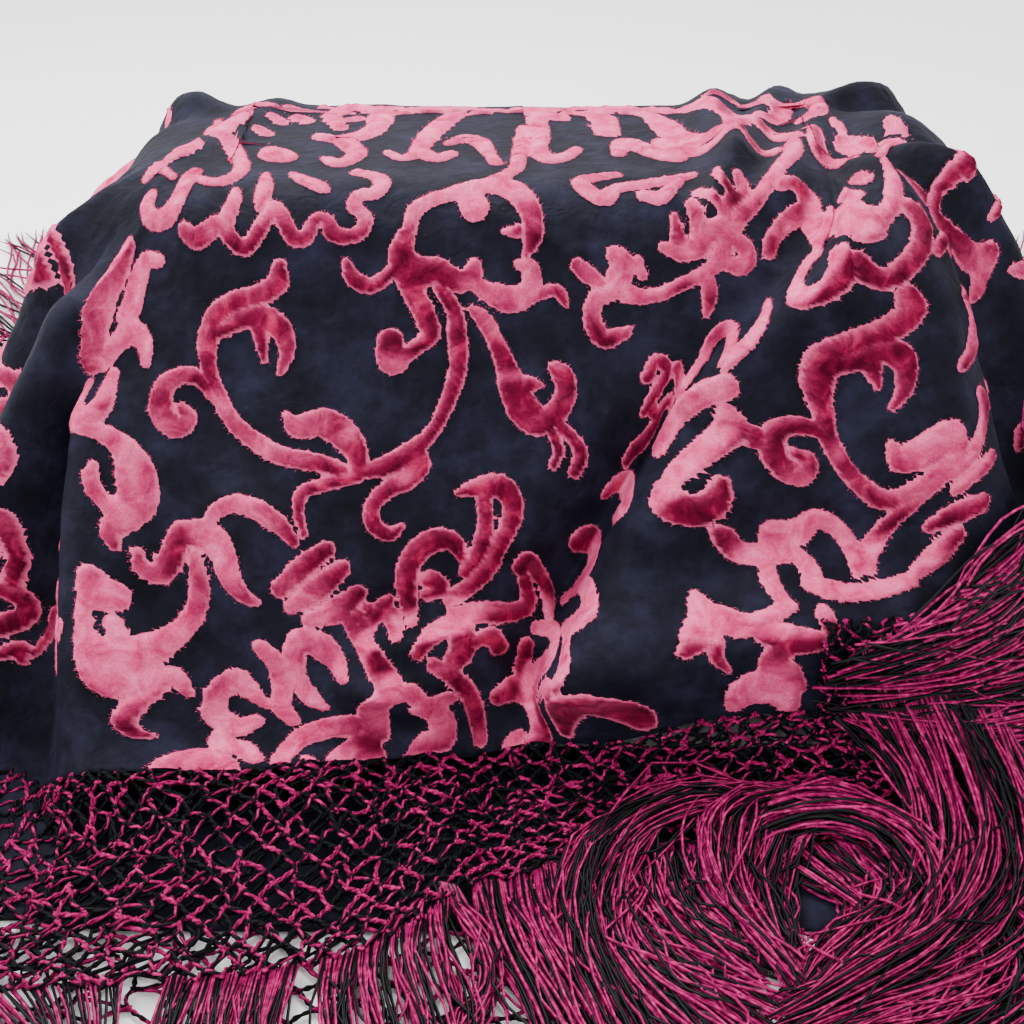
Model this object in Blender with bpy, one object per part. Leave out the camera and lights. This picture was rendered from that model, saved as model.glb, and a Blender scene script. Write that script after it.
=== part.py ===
"""A piano shawl of cut velvet on sheer crepe, folded in two and laid over a plain block.

Metres, +Z up, front towards -Y. The origin is in the middle of the block's base, on the table.
Every piece of cloth is placed by two lengths: how far round the block it lies (around, 0 in
the middle of the front, positive to the right), and how far down from the edge of the flat
top it lies, measured along the cloth (past).
"""
import math

import bmesh
import bpy
import numpy as np

# Driving sizes of the block's flat top and of the cloth over it.
TOP_Z = 0.270  # outer face of the cloth on the flat top
CORE_X = 0.165  # half length of the straight front edge
CORE_Y = 0.036  # half length of the straight end edge
CORNER = 0.030  # corner radius of the flat top
EDGE_RADIUS = 0.050  # bend of the cloth over the block's edge
FOOT_RADIUS = 0.075  # bend of the cloth where it meets the table
WALL = 0.002  # thickness of the cloth and of the net
SEAM_GAP = 0.0004
LAYER_GAP = 0.0006
BLOCK_BEND = 0.044  # rounding of the block, a little less than the cloth's bend over it

# Slopes of the fall, and how much flatter it is at the four corners.
FRONT_SLOPE = math.radians(59)
END_SLOPE = math.radians(64)
BACK_SLOPE = math.radians(70)
CORNER_EASE = math.radians(8)

# Lengths round the block at which its corners start and end, on either side of the front.
CORNER_TURN = 0.16  # length that stands for one radian of a corner
QUARTER = 0.5 * math.pi * CORNER_TURN
FRONT_END = CORE_X
SIDE_START = FRONT_END + QUARTER
SIDE_END = SIDE_START + 2 * CORE_Y
BACK_START = SIDE_END + QUARTER
HALF_ROUND = BACK_START + CORE_X

STRIP = 0.004  # width of the knotted strip that a fringe hangs from
STRAND = 0.0014  # radius of one lock of fringe

# The lower half of the doubled shawl, where it comes out in front on the table.
UNDER_FROM, UNDER_TO = -0.15, 0.30
UNDER_START = 0.325
UNDER_SEAM = 0.440
UNDER_END = 0.560
UNDER_MARGIN = 0.040

# Where the velvet panel ends. Along the back that is the fold of the doubled shawl.
HEM = (
    # around, past
    (-HALF_ROUND, 0.350),
    (-0.75, 0.352),
    (-0.61, 0.385),
    (-0.46, 0.366),
    (-0.36, 0.388),
    (-0.30, 0.372),
    (-0.26, 0.350),
    (-0.18, 0.350),
    (-0.10, 0.342),
    (-0.05, 0.327),
    (0.00, 0.318),
    (0.05, 0.320),
    (0.10, 0.306),
    (0.15, 0.302),
    (0.20, 0.316),
    (0.25, 0.342),
    (0.34, 0.385),
    (0.46, 0.366),
    (0.61, 0.385),
    (0.75, 0.352),
    (HALF_ROUND, 0.350),
)

# Depth of the net below the hem: it is drawn up short round the right of the front.
NET_DEPTHS = (
    # around, depth
    (-HALF_ROUND, 0.115),
    (-0.28, 0.115),
    (-0.18, 0.108),
    (-0.10, 0.102),
    (-0.03, 0.094),
    (0.02, 0.078),
    (0.10, 0.078),
    (0.17, 0.086),
    (0.24, 0.100),
    (0.32, 0.115),
    (HALF_ROUND, 0.115),
)

# The large folds of the fall, each from its top by a middle point to its foot. A negative height is
# a hollow. Lean moves the crest sideways, in shares of its height, so that it hangs over the hollow.
FOLDS = (
    # name, around and past of top, middle and foot, width, height, lean
    ("long_ridge", 0.200, 0.060, 0.112, 0.140, 0.040, 0.290, 0.026, 0.030, -0.80),
    ("long_hollow", 0.140, 0.105, 0.066, 0.180, 0.008, 0.272, 0.027, -0.034, 0.00),
    ("right_swell", 0.235, 0.090, 0.190, 0.160, 0.130, 0.250, 0.065, 0.014, 0.00),
    ("left_lobe", -0.130, 0.210, -0.120, 0.270, -0.115, 0.345, 0.070, 0.024, 0.00),
    ("left_lobe_edge", -0.232, 0.160, -0.212, 0.250, -0.190, 0.350, 0.026, 0.020, -0.60),
    ("left_hollow", -0.262, 0.170, -0.250, 0.240, -0.232, 0.390, 0.022, -0.028, 0.00),
    ("left_flute", -0.292, 0.110, -0.296, 0.220, -0.290, 0.400, 0.030, 0.030, 0.40),
    ("left_end_hollow", -0.350, 0.110, -0.352, 0.240, -0.345, 0.420, 0.026, -0.024, 0.00),
    ("left_end_flute", -0.385, 0.080, -0.405, 0.220, -0.402, 0.420, 0.034, 0.024, 0.00),
    ("left_side_hollow", -0.462, 0.110, -0.465, 0.240, -0.455, 0.410, 0.028, -0.022, 0.00),
    ("left_side_flute", -0.515, 0.100, -0.518, 0.220, -0.512, 0.410, 0.034, 0.018, 0.00),
    ("back_left_hollow", -0.580, 0.110, -0.585, 0.240, -0.575, 0.420, 0.028, -0.020, 0.00),
    ("back_left_flute", -0.630, 0.050, -0.645, 0.200, -0.635, 0.400, 0.036, 0.024, 0.20),
    ("back_left_dip", -0.720, 0.120, -0.715, 0.220, -0.705, 0.380, 0.030, -0.016, 0.00),
    ("back_left_swell", -0.790, 0.080, -0.785, 0.200, -0.770, 0.380, 0.038, 0.016, 0.00),
    ("right_lobe", 0.075, 0.275, 0.120, 0.255, 0.185, 0.258, 0.030, 0.024, 0.00),
    ("right_lobe_foot", 0.095, 0.300, 0.130, 0.300, 0.185, 0.310, 0.045, 0.012, 0.00),
    ("lobe_crease", 0.078, 0.232, 0.125, 0.203, 0.200, 0.206, 0.018, -0.014, 0.00),
    ("right_shoulder", 0.250, 0.020, 0.235, 0.110, 0.228, 0.200, 0.036, 0.016, 0.00),
    ("right_hollow", 0.298, 0.095, 0.300, 0.220, 0.275, 0.390, 0.026, -0.022, 0.00),
    ("right_flute", 0.345, 0.040, 0.350, 0.190, 0.335, 0.420, 0.038, 0.032, 0.00),
    ("right_end_hollow", 0.404, 0.100, 0.404, 0.230, 0.395, 0.430, 0.030, -0.016, 0.00),
    ("right_end_flute", 0.456, 0.030, 0.462, 0.190, 0.455, 0.420, 0.042, 0.022, 0.00),
    ("right_side_hollow", 0.520, 0.110, 0.522, 0.240, 0.515, 0.430, 0.028, -0.022, 0.00),
    ("back_right_flute", 0.590, 0.040, 0.590, 0.200, 0.580, 0.420, 0.038, 0.028, 0.00),
    ("back_right_dip", 0.665, 0.110, 0.660, 0.220, 0.650, 0.400, 0.030, -0.018, 0.00),
    ("back_right_swell", 0.735, 0.060, 0.730, 0.200, 0.715, 0.380, 0.036, 0.020, 0.00),
    ("back_middle_dip", 0.830, 0.120, 0.835, 0.220, 0.830, 0.380, 0.032, -0.014, 0.00),
    ("slump_ridge", -0.078, 0.290, -0.025, 0.272, 0.030, 0.276, 0.022, 0.016, 0.00),
    ("slump_hollow", -0.070, 0.246, -0.022, 0.232, 0.030, 0.236, 0.020, -0.010, 0.00),
    ("lobe_gap", -0.034, 0.312, -0.014, 0.335, -0.004, 0.370, 0.024, -0.010, 0.00),
)

# Gathers that cross the flat top and its back edge, as ridges in plan.
GATHERS = (
    # name, x and y of start, middle and end, width, height
    ("gather_corner", 0.190, 0.095, 0.172, 0.010, 0.140, -0.080, 0.014, 0.010),
    ("gather_back", 0.124, 0.110, 0.112, 0.030, 0.118, -0.050, 0.014, 0.011),
    ("gather_slant", 0.162, 0.095, 0.142, 0.035, 0.100, -0.100, 0.010, 0.007),
    ("gather_left", -0.150, 0.105, -0.165, 0.040, -0.190, -0.030, 0.013, 0.005),
)
GATHER_END = 0.16  # past which no gather reaches down the fall

# Small waves of the net where it lies on the table: waves for each metre round, phase, share.
RUFFLES = (
    (9.5, 0.6, 0.55),
    (15.0, 2.1, 0.45),
)
RUFFLE_HEIGHT = 0.008
RUFFLE_SLANT = 9.0  # how far a ruffle's phase turns for each metre outwards

# Places of the sections down the cloth and of the columns round it.
TOP_SECTIONS = (-CORNER - CORE_Y, -0.5 * CORNER, 0.0)
EDGE_SECTIONS = 4
EDGE_LENGTH = 0.054
FALL_SECTIONS = 13
FRONT_COLUMNS = 24
CORNER_COLUMNS = 9
END_COLUMNS = 4

# The nets of the upper half, and the fringes that hang from them.
NETS = (
    # name, around from, around to
    ("net_left", -0.690, -0.262),
    ("net_front", -0.262, 0.240),
    ("net_right", 0.240, 0.690),
)
NET_SECTIONS = 4
UNDER_SECTIONS = 3

# A corner of net folded over the right of the cloth.
FLAP_FROM, FLAP_TO = 0.150, 0.212
FLAP_TOP, FLAP_FOOT = 0.250, 0.330
FLAP_NARROW = 0.35  # share of its width that the flap has at its top and foot
FLAP_LIFT = WALL + 0.003  # the flap rides on the ruffles below it

# Strands at the ends. Each leaves its root outwards and turns evenly by its sweep.
SWEPT_STRANDS = (
    # fringe, first and last root, strands, sweep of first and last, length of first and last
    ("fringe_left", -0.670, -0.480, 14, -0.25, 0.20, 0.25, 0.27),
    ("fringe_left", -0.465, -0.275, 16, 0.25, -0.10, 0.27, 0.25),
    ("fringe_right", 0.255, 0.460, 15, -0.25, 0.02, 0.25, 0.27),
    ("fringe_right", 0.480, 0.670, 14, 0.02, 0.25, 0.27, 0.25),
)

# Strands in front, combed into locks. Each runs between the lines of the lock's first and last
# strand, given by their x and y on the table.
LOCK_STRANDS = (
    # first and last root, strands, tiers, line of the first strand, line of the last strand
    (-0.240, -0.172, 10, 1,
     ((-0.248, -0.440), (-0.256, -0.480), (-0.268, -0.520), (-0.272, -0.565), (-0.268, -0.620)),
     ((-0.176, -0.455), (-0.184, -0.490), (-0.198, -0.525), (-0.204, -0.565), (-0.200, -0.625))),
    (-0.162, -0.104, 9, 1,
     ((-0.166, -0.455), (-0.160, -0.490), (-0.164, -0.530), (-0.176, -0.570), (-0.178, -0.630)),
     ((-0.106, -0.440), (-0.100, -0.475), (-0.106, -0.515), (-0.122, -0.560), (-0.126, -0.625))),
    (-0.094, -0.036, 11, 2,
     ((-0.096, -0.430), (-0.086, -0.460), (-0.084, -0.500), (-0.098, -0.545), (-0.102, -0.600)),
     ((-0.036, -0.390), (-0.021, -0.415), (-0.022, -0.450), (-0.040, -0.500), (-0.056, -0.560))),
    (-0.026, 0.026, 14, 2,
     ((-0.020, -0.385), (-0.004, -0.415), (0.006, -0.455), (0.004, -0.505), (-0.012, -0.560)),
     ((0.030, -0.360), (0.040, -0.385), (0.052, -0.410), (0.070, -0.440), (0.094, -0.475))),
    (0.036, 0.102, 15, 2,
     ((0.040, -0.352), (0.046, -0.372), (0.060, -0.392), (0.078, -0.405), (0.100, -0.412)),
     ((0.103, -0.340), (0.106, -0.350), (0.111, -0.358), (0.117, -0.366), (0.122, -0.374))),
    (0.116, 0.226, 17, 2,
     ((0.131, -0.334), (0.146, -0.350), (0.160, -0.366), (0.158, -0.382), (0.140, -0.392)),
     ((0.272, -0.366), (0.278, -0.402), (0.254, -0.440), (0.206, -0.466), (0.140, -0.474))),
)
STRAND_POINTS = 7
SETTLE_POINTS = 2.5  # number of a strand's points over which it comes down to the table
FLAP_SECTIONS = 4
FLAP_STRANDS = 14
FLAP_STRAND_LENGTH = 0.13
FLAP_STRAND_POINTS = 11
FLAP_STRAND_LIFT = 0.0045
BRIDGE = 0.016  # the strands span hollows narrower than this on either side
FAN_UP, FAN_DOWN = 0.040, 0.030  # how far the first strand climbs and the last one falls
TIER = 0.0036  # height of one layer of strands over the next
FLOOR_CLEARANCE = 0.0015


def smooth_step(x, low, high):
    t = np.clip((np.asarray(x, float) - low) / (high - low), 0, 1)
    return t * t * (3 - 2 * t)


def core_of(around):
    """Point of the flat top's core, and the outward direction there, for a length round the block."""
    around = np.asarray(around, float)
    side = np.where(around < 0, -1.0, 1.0)
    m = np.abs(around)
    turn = np.clip((m - FRONT_END) / CORNER_TURN, 0, math.pi / 2)
    turn = turn + np.clip((m - SIDE_END) / CORNER_TURN, 0, math.pi / 2)
    x = np.clip(m, 0, CORE_X) - np.clip(m - BACK_START, 0, CORE_X)
    y = -CORE_Y + np.clip(m - SIDE_START, 0, 2 * CORE_Y)
    return side * x, y, side * np.sin(turn), -np.cos(turn)


def slope_of(nx, ny):
    """Steepest slope of the cloth that falls in this direction."""
    front = np.clip(-ny, 0, 1) ** 2
    back = np.clip(ny, 0, 1) ** 2
    slope = FRONT_SLOPE * front + BACK_SLOPE * back + END_SLOPE * (1 - front - back)
    return slope - CORNER_EASE * np.abs(2 * nx * ny)


def fall(past, slope, low):
    """Distance out, height and tilt of cloth that bends over the edge, falls and runs out on the table."""
    past = np.maximum(past, 0)
    bends = (EDGE_RADIUS + FOOT_RADIUS) * (1 - np.cos(slope))
    straight = (TOP_Z - low - bends) / np.sin(slope)
    edge = np.clip(past / EDGE_RADIUS, 0, slope)
    down = np.clip(past - EDGE_RADIUS * slope, 0, straight)
    foot = slope - np.clip((past - EDGE_RADIUS * slope - straight) / FOOT_RADIUS, 0, slope)
    table = np.maximum(past - (EDGE_RADIUS + FOOT_RADIUS) * slope - straight, 0)
    out = EDGE_RADIUS * np.sin(edge) + down * np.cos(slope)
    out = out + FOOT_RADIUS * (np.sin(slope) - np.sin(foot)) + table
    drop = EDGE_RADIUS * (1 - np.cos(edge)) + down * np.sin(slope)
    drop = drop + FOOT_RADIUS * (np.cos(foot) - np.cos(slope))
    tilt = np.where(foot < slope, foot, edge)
    return out, TOP_Z - drop, tilt


def distance_to_line(x, y, points):
    """Distance to a line of three points."""
    best = None
    for (ax, ay), (bx, by) in zip(points, points[1:]):
        along_x, along_y = bx - ax, by - ay
        share = ((x - ax) * along_x + (y - ay) * along_y) / (along_x**2 + along_y**2)
        share = np.clip(share, 0, 1)
        far = np.hypot(x - ax - share * along_x, y - ay - share * along_y)
        best = far if best is None else np.minimum(best, far)
    return best


def folds_at(around, past):
    """Height of the folds over the plain fall, and how far their crests lean round the block."""
    height = np.zeros(np.broadcast(around, past).shape)
    lean = np.zeros_like(height)
    room = smooth_step(past, 0.055, 0.17)
    for _, around_a, past_a, around_b, past_b, around_c, past_c, width, tall, leaning in FOLDS:
        points = ((around_a, past_a), (around_b, past_b), (around_c, past_c))
        bump = tall * np.exp(-((distance_to_line(around, past, points) / width) ** 2))
        if tall < 0:
            bump = bump * room
        height += bump
        lean += leaning * bump
    return height, lean


def gathers_at(x, y, past):
    """Height of the gathers over the flat top and its edges."""
    height = np.zeros(np.broadcast(x, y).shape)
    for _, xa, ya, xb, yb, xc, yc, width, tall in GATHERS:
        far = distance_to_line(x, y, ((xa, ya), (xb, yb), (xc, yc)))
        height += tall * np.exp(-((far / width) ** 2))
    return height * (1 - smooth_step(past, 0.5 * GATHER_END, GATHER_END))


def under_share(around, past):
    """1 over the lower half's cloth and net on the table, falling to 0 just outside them."""
    share = smooth_step(around, UNDER_FROM - UNDER_MARGIN, UNDER_FROM - 0.005)
    share = share * (1 - smooth_step(around, UNDER_TO + 0.005, UNDER_TO + UNDER_MARGIN))
    return share * (1 - smooth_step(past, UNDER_END + 0.005, UNDER_END + UNDER_MARGIN))


def ruffles_at(around, past):
    wave = np.zeros(np.broadcast(around, past).shape)
    for count, phase, share in RUFFLES:
        wave += share * (0.5 + 0.5 * np.sin(2 * math.pi * count * around + phase + RUFFLE_SLANT * past))
    return RUFFLE_HEIGHT * wave * smooth_step(past, 0.31, 0.40)


def drape(around, past, lift=0.0):
    """Points of the upper half's outer face, or lift metres above it."""
    around, past = np.broadcast_arrays(np.asarray(around, float), np.asarray(past, float))
    core_x, core_y, nx, ny = core_of(around)
    low = WALL + under_share(around, past) * (WALL + LAYER_GAP)
    out, z, tilt = fall(past, slope_of(nx, ny), low)
    core_y = core_y * np.clip((past + CORNER + CORE_Y) / CORE_Y, 0, 1)
    away = np.clip(CORNER + past, 0, CORNER) + out
    height, lean = folds_at(around, past)
    height = height * smooth_step(past, -0.03, 0.02)
    height = height + gathers_at(core_x + nx * away, core_y + ny * away, past)
    z = z + (height + lift) * np.cos(tilt) + ruffles_at(around, past)
    away = away + (height + lift) * np.sin(tilt)
    return np.stack([core_x + nx * away - ny * lean, core_y + ny * away + nx * lean,
                     np.maximum(z, low + lift)], axis=-1)


def table_layer(around, past, height):
    """Points of the lower half, flat on the table, height metres up."""
    around, past = np.broadcast_arrays(np.asarray(around, float), np.asarray(past, float))
    core_x, core_y, nx, ny = core_of(around)
    out, _, _ = fall(past, slope_of(nx, ny), WALL)
    away = CORNER + out
    return np.stack([core_x + nx * away, core_y + ny * away, np.full(past.shape, height)], axis=-1)


def place_of(x, y):
    """Around and past of the plain cloth over a point in plan."""
    core_x, core_y = np.clip(x, -CORE_X, CORE_X), np.clip(y, -CORE_Y, CORE_Y)
    far = np.hypot(x - core_x, y - core_y)
    nx, ny = (x - core_x) / far, (y - core_y) / far
    turn = np.arctan2(np.abs(nx), -ny)
    corner = np.abs(x) >= CORE_X
    m = np.where(y < 0, np.abs(core_x) + CORNER_TURN * np.minimum(turn, math.pi / 2),
                 BACK_START - CORNER_TURN * (math.pi - turn) + CORE_X - np.abs(core_x))
    m = np.where(corner & (np.abs(y) < CORE_Y), SIDE_START + y + CORE_Y, m)
    around = np.where(x < 0, -m, m)
    slope = slope_of(nx, ny)
    near, wide = np.zeros_like(far), np.full_like(far, 1.5)
    for _ in range(30):
        middle = 0.5 * (near + wide)
        short = fall(middle, slope, WALL)[0] < far - CORNER
        near, wide = np.where(short, middle, near), np.where(short, wide, middle)
    return around, 0.5 * (near + wide)


def smooth_line(table, around):
    """Value at a length round the block, on a smooth line through the rows of a table."""
    x, y = np.array(table).T
    at = np.clip(np.asarray(around, float), x[0], x[-1])
    i = np.clip(np.searchsorted(x, at) - 1, 0, len(x) - 2)
    span = x[i + 1] - x[i]
    t = (at - x[i]) / span
    rise = np.gradient(y, x)
    value = (2 * t**3 - 3 * t**2 + 1) * y[i] + (3 * t**2 - 2 * t**3) * y[i + 1]
    return value + (t**3 - 2 * t**2 + t) * span * rise[i] + (t**3 - t**2) * span * rise[i + 1]


def hem_past(around):
    """How far down the velvet panel ends."""
    return smooth_line(HEM, around)


def net_end(around):
    """How far down the net ends."""
    return hem_past(around) + SEAM_GAP + smooth_line(NET_DEPTHS, around)


def columns_round():
    """Lengths round the block of the cloth's columns, from the middle of the back round to it again."""
    front = np.linspace(0, FRONT_END, FRONT_COLUMNS // 2 + 1)
    corner = np.linspace(FRONT_END, SIDE_START, CORNER_COLUMNS + 1)[1:]
    end = np.linspace(SIDE_START, SIDE_END, END_COLUMNS + 1)[1:]
    back_corner = SIDE_END + corner - FRONT_END
    back = HALF_ROUND - front[::-1][1:]
    half = np.concatenate([front, corner, end, back_corner, back])
    return np.concatenate([-half[:0:-1], half])


def columns_between(low, high):
    """The cloth's columns from the one nearest low to the one nearest high, drawn in at both ends."""
    columns = columns_round()
    first, last = (int(np.argmin(np.abs(columns - end))) for end in (low, high))
    found = columns[first:last + 1].copy()
    found[0] += 0.5 * SEAM_GAP
    found[-1] -= 0.5 * SEAM_GAP
    return found


def make_material(name, colour, roughness):
    look = bpy.data.materials.new(name)
    look.use_nodes = True
    shader = look.node_tree.nodes["Principled BSDF"]
    shader.inputs["Base Color"].default_value = (*colour, 1)
    shader.inputs["Roughness"].default_value = roughness
    return look


def add_object(name, data, collection, look):
    made = bpy.data.objects.new(name, data)
    if look:
        data.materials.append(look)
    collection.objects.link(made)
    return made


def add_sheet(name, outer, inner, collection, look):
    """A wall of cloth between two grids of points, given as columns of rows."""
    columns, rows = outer.shape[:2]
    shape = bmesh.new()
    bmesh.ops.create_grid(shape, x_segments=columns - 1, y_segments=rows - 1, size=0.5)
    place = shape.verts.layers.int.new("place")
    order = sorted(shape.verts, key=lambda vert: (round(vert.co.x, 5), round(vert.co.y, 5)))
    for k, (vert, point) in enumerate(zip(order, outer.reshape(-1, 3))):
        vert[place] = k
        vert.co = point
    bmesh.ops.remove_doubles(shape, verts=shape.verts, dist=0.00001)
    wall = bmesh.ops.extrude_face_region(shape, geom=list(shape.faces), use_keep_orig=True)["geom"]
    for vert in wall:
        if isinstance(vert, bmesh.types.BMVert):
            vert.co = inner.reshape(-1, 3)[vert[place]]
    bmesh.ops.recalc_face_normals(shape, faces=shape.faces)
    data = bpy.data.meshes.new(name)
    shape.to_mesh(data)
    shape.free()
    data.shade_smooth()
    data.set_sharp_from_angle(angle=math.radians(60))
    return add_object(name, data, collection, look)


def add_draped(name, around, past, lift, collection, look):
    """A wall of cloth draped with the upper half, lift metres above its outer face."""
    return add_sheet(name, drape(around, past, lift), drape(around, past, lift - WALL), collection, look)


def make_block(collection, look):
    """The plain block under the cloth, with rounded sides and a flat base."""
    height = TOP_Z - WALL - SEAM_GAP
    half_x = CORE_X + CORNER + BLOCK_BEND
    half_y = CORE_Y + CORNER + BLOCK_BEND
    shape = bmesh.new()
    bmesh.ops.create_cube(shape, size=1)
    for vert in shape.verts:
        vert.co.x *= 2 * half_x
        vert.co.y *= 2 * half_y
        vert.co.z = (vert.co.z + 0.5) * height
    uprights = [edge for edge in shape.edges if abs(edge.verts[0].co.z - edge.verts[1].co.z) > 0.5 * height]
    bmesh.ops.bevel(shape, geom=uprights, offset=CORNER + BLOCK_BEND, segments=8, profile=0.5, affect="EDGES")
    rim = [edge for edge in shape.edges if all(vert.co.z > 0.99 * height for vert in edge.verts)]
    bmesh.ops.bevel(shape, geom=rim, offset=BLOCK_BEND, segments=5, profile=0.5, affect="EDGES")
    data = bpy.data.meshes.new("block")
    shape.to_mesh(data)
    shape.free()
    data.shade_smooth()
    data.set_sharp_from_angle(angle=math.radians(40))
    return add_object("block", data, collection, look)


def make_cloth(collection, look):
    """The velvet panel, from the flat top over the edges and down to its hem."""
    around = columns_round()[:, None]
    hem = hem_past(around)
    edge = EDGE_LENGTH * np.arange(1, EDGE_SECTIONS + 1) / EDGE_SECTIONS
    share = np.arange(1, FALL_SECTIONS + 1) / FALL_SECTIONS
    upper = np.concatenate([TOP_SECTIONS, edge])
    upper = np.broadcast_to(upper, (len(around), len(upper)))
    past = np.concatenate([upper, EDGE_LENGTH + share * (hem - EDGE_LENGTH)], axis=1)
    return add_draped("velvet_panel", around, past, 0, collection, look)


def make_nets(collection, look):
    """The knotted nets sewn to the hem, in front and at both ends."""
    share = np.arange(NET_SECTIONS + 1) / NET_SECTIONS
    for name, low, high in NETS:
        around = columns_between(low, high)[:, None]
        start = hem_past(around) + SEAM_GAP
        add_draped(name, around, start + share * (net_end(around) - start), 0, collection, look)


def make_under(collection, cloth_look, net_look):
    """The lower half where it comes out in front, flat on the table: a stretch of cloth and its net."""
    around = columns_between(UNDER_FROM, UNDER_TO)[:, None]
    for name, start, end, look in (
        ("under_panel", UNDER_START, UNDER_SEAM, cloth_look),
        ("under_net", UNDER_SEAM + SEAM_GAP, UNDER_END, net_look),
    ):
        past = np.linspace(start, end, UNDER_SECTIONS + 1)
        add_sheet(name, table_layer(around, past, WALL), table_layer(around, past, 0), collection, look)


def make_flap(collection, look):
    """A corner of net that is folded over the right of the cloth, rounded on its left."""
    share = np.arange(FLAP_SECTIONS + 1) / FLAP_SECTIONS
    past = FLAP_TOP + share * (FLAP_FOOT - FLAP_TOP)
    width = (FLAP_TO - FLAP_FROM) * (FLAP_NARROW + (1 - FLAP_NARROW) * np.sin(math.pi * share))
    around = FLAP_TO - width * (1 - share[:, None])
    add_draped("net_flap", around, past, FLAP_LIFT, collection, look)


def swept_line(start, root_around, sweep, length):
    """Points in plan of a strand that leaves its root outwards and turns evenly by its sweep."""
    _, _, nx, ny = core_of(root_around)
    step = np.arange(STRAND_POINTS - 1)
    turned = math.atan2(ny, nx) + sweep * (step + 0.5) / len(step)
    moves = np.stack([np.cos(turned), np.sin(turned)], axis=1) * length / len(step)
    return start[:2] + np.concatenate([np.zeros((1, 2)), np.cumsum(moves, axis=0)])


def lock_line(start, share, first_line, last_line):
    """Points in plan of a strand that runs from its root between the first and last line of its lock."""
    line = (1 - share) * np.array(first_line) + share * np.array(last_line)
    line = np.concatenate([start[None, :2], line])
    length = np.concatenate([[0], np.cumsum(np.hypot(*np.diff(line, axis=0).T))])
    at = np.linspace(0, length[-1], STRAND_POINTS)
    return np.stack([np.interp(at, length, line[:, axis]) for axis in (0, 1)], axis=1)


def lay_strand(root, line, tier):
    """Points of one strand, from inside its strip out over the table along its line in plan."""
    points = [root]
    for k, (x, y) in enumerate(line[1:], 1):
        place = place_of(np.array([x]), np.array([y]))
        ground = under_share(*place)[0] * (WALL + LAYER_GAP)
        settle = 1 - smooth_step(k, 0, SETTLE_POINTS)
        z = ground + FLOOR_CLEARANCE + 0.5 * STRAND + tier * smooth_step(k, 0, 1)
        points.append(np.array([x, y, z + settle * max(root[2] - 0.5 * WALL - ground, 0)]))
    return points


def fringe_paths(fringe, around, middle):
    """Paths of a fringe's strands, rooted on the middle line of its strip."""
    def root_at(root_around):
        return np.array([np.interp(root_around, around, line) for line in middle.T])

    paths = []
    for name, first, last, count, sweep_a, sweep_b, length_a, length_b in SWEPT_STRANDS:
        for k in range(count if name == fringe else 0):
            share = k / (count - 1)
            root = first + share * (last - first)
            sweep = sweep_a + share * (sweep_b - sweep_a)
            length = length_a + share * (length_b - length_a)
            start = root_at(root)
            paths.append(lay_strand(start, swept_line(start, root, sweep, length), 0))
    for first, last, count, tiers, first_line, last_line in LOCK_STRANDS:
        for k in range(count if fringe == "fringe_front" else 0):
            share = k / (count - 1)
            start = root_at(first + share * (last - first))
            line = lock_line(start, share, first_line, last_line)
            paths.append(lay_strand(start, line, TIER * (k % tiers)))
    return paths


def flap_path(share):
    """Points of one strand that lies over the cloth to the right of the folded corner of net."""
    past = FLAP_TOP + 0.006 + share * (FLAP_FOOT - FLAP_TOP - 0.012)
    points = [drape(FLAP_TO + SEAM_GAP + 0.5 * STRIP, past, FLAP_LIFT - 0.5 * WALL)]
    for k in range(1, FLAP_STRAND_POINTS):
        t = k / (FLAP_STRAND_POINTS - 1)
        fan = past + t * (FAN_DOWN * share - FAN_UP * (1 - share))
        around = FLAP_TO + STRIP + t * FLAP_STRAND_LENGTH
        heights = [folds_at(around + aside, fan)[0] for aside in (-BRIDGE, 0, BRIDGE)]
        points.append(drape(around, fan, FLAP_STRAND_LIFT + max(heights) - heights[1]))
    return points


def make_profile(guides):
    """Three-sided section of a strand, with its flat side down."""
    profile = bpy.data.curves.new("strand_section", "CURVE")
    profile.dimensions = "2D"
    spline = profile.splines.new("POLY")
    spline.points.add(2)
    spline.use_cyclic_u = True
    for k, point in enumerate(spline.points):
        turn = math.pi / 2 + 2 * math.pi * k / 3
        point.co = (STRAND * math.cos(turn), STRAND * math.sin(turn), 0, 1)
    section = add_object("strand_section", profile, guides, None)
    section.hide_render = True
    return section


def evaluated_mesh(source):
    """The object's mesh with its modifiers, or its curve's bevel, taken into it."""
    graph = bpy.context.evaluated_depsgraph_get()
    return bpy.data.meshes.new_from_object(source.evaluated_get(graph))


def make_strands(name, paths, section, guides):
    """One mesh of closed strands along their paths."""
    curve = bpy.data.curves.new(name, "CURVE")
    curve.dimensions = "3D"
    curve.twist_mode = "Z_UP"
    curve.bevel_mode = "OBJECT"
    curve.bevel_object = section
    curve.use_fill_caps = True
    for path in paths:
        spline = curve.splines.new("POLY")
        spline.points.add(len(path) - 1)
        for point, place in zip(spline.points, path):
            point.co = (*place, 1)
    source = add_object(name + "_curve", curve, guides, None)
    bpy.context.view_layer.update()
    data = evaluated_mesh(source)
    bpy.data.objects.remove(source)
    shape = bmesh.new()
    shape.from_mesh(data)
    bmesh.ops.remove_doubles(shape, verts=shape.verts, dist=0.00001)
    bmesh.ops.recalc_face_normals(shape, faces=shape.faces)
    shape.to_mesh(data)
    shape.free()
    strands = add_object(name, data, guides, None)
    strands.hide_render = True
    strands.display_type = "WIRE"
    return strands


def make_fringe(name, strip, paths, guides, section):
    """Grows the strands out of the strip along a net's edge, as one body with it."""
    strands = make_strands(name + "_strands", paths, section, guides)
    join = strip.modifiers.new("strands", "BOOLEAN")
    join.operation = "UNION"
    join.object = strands


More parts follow.
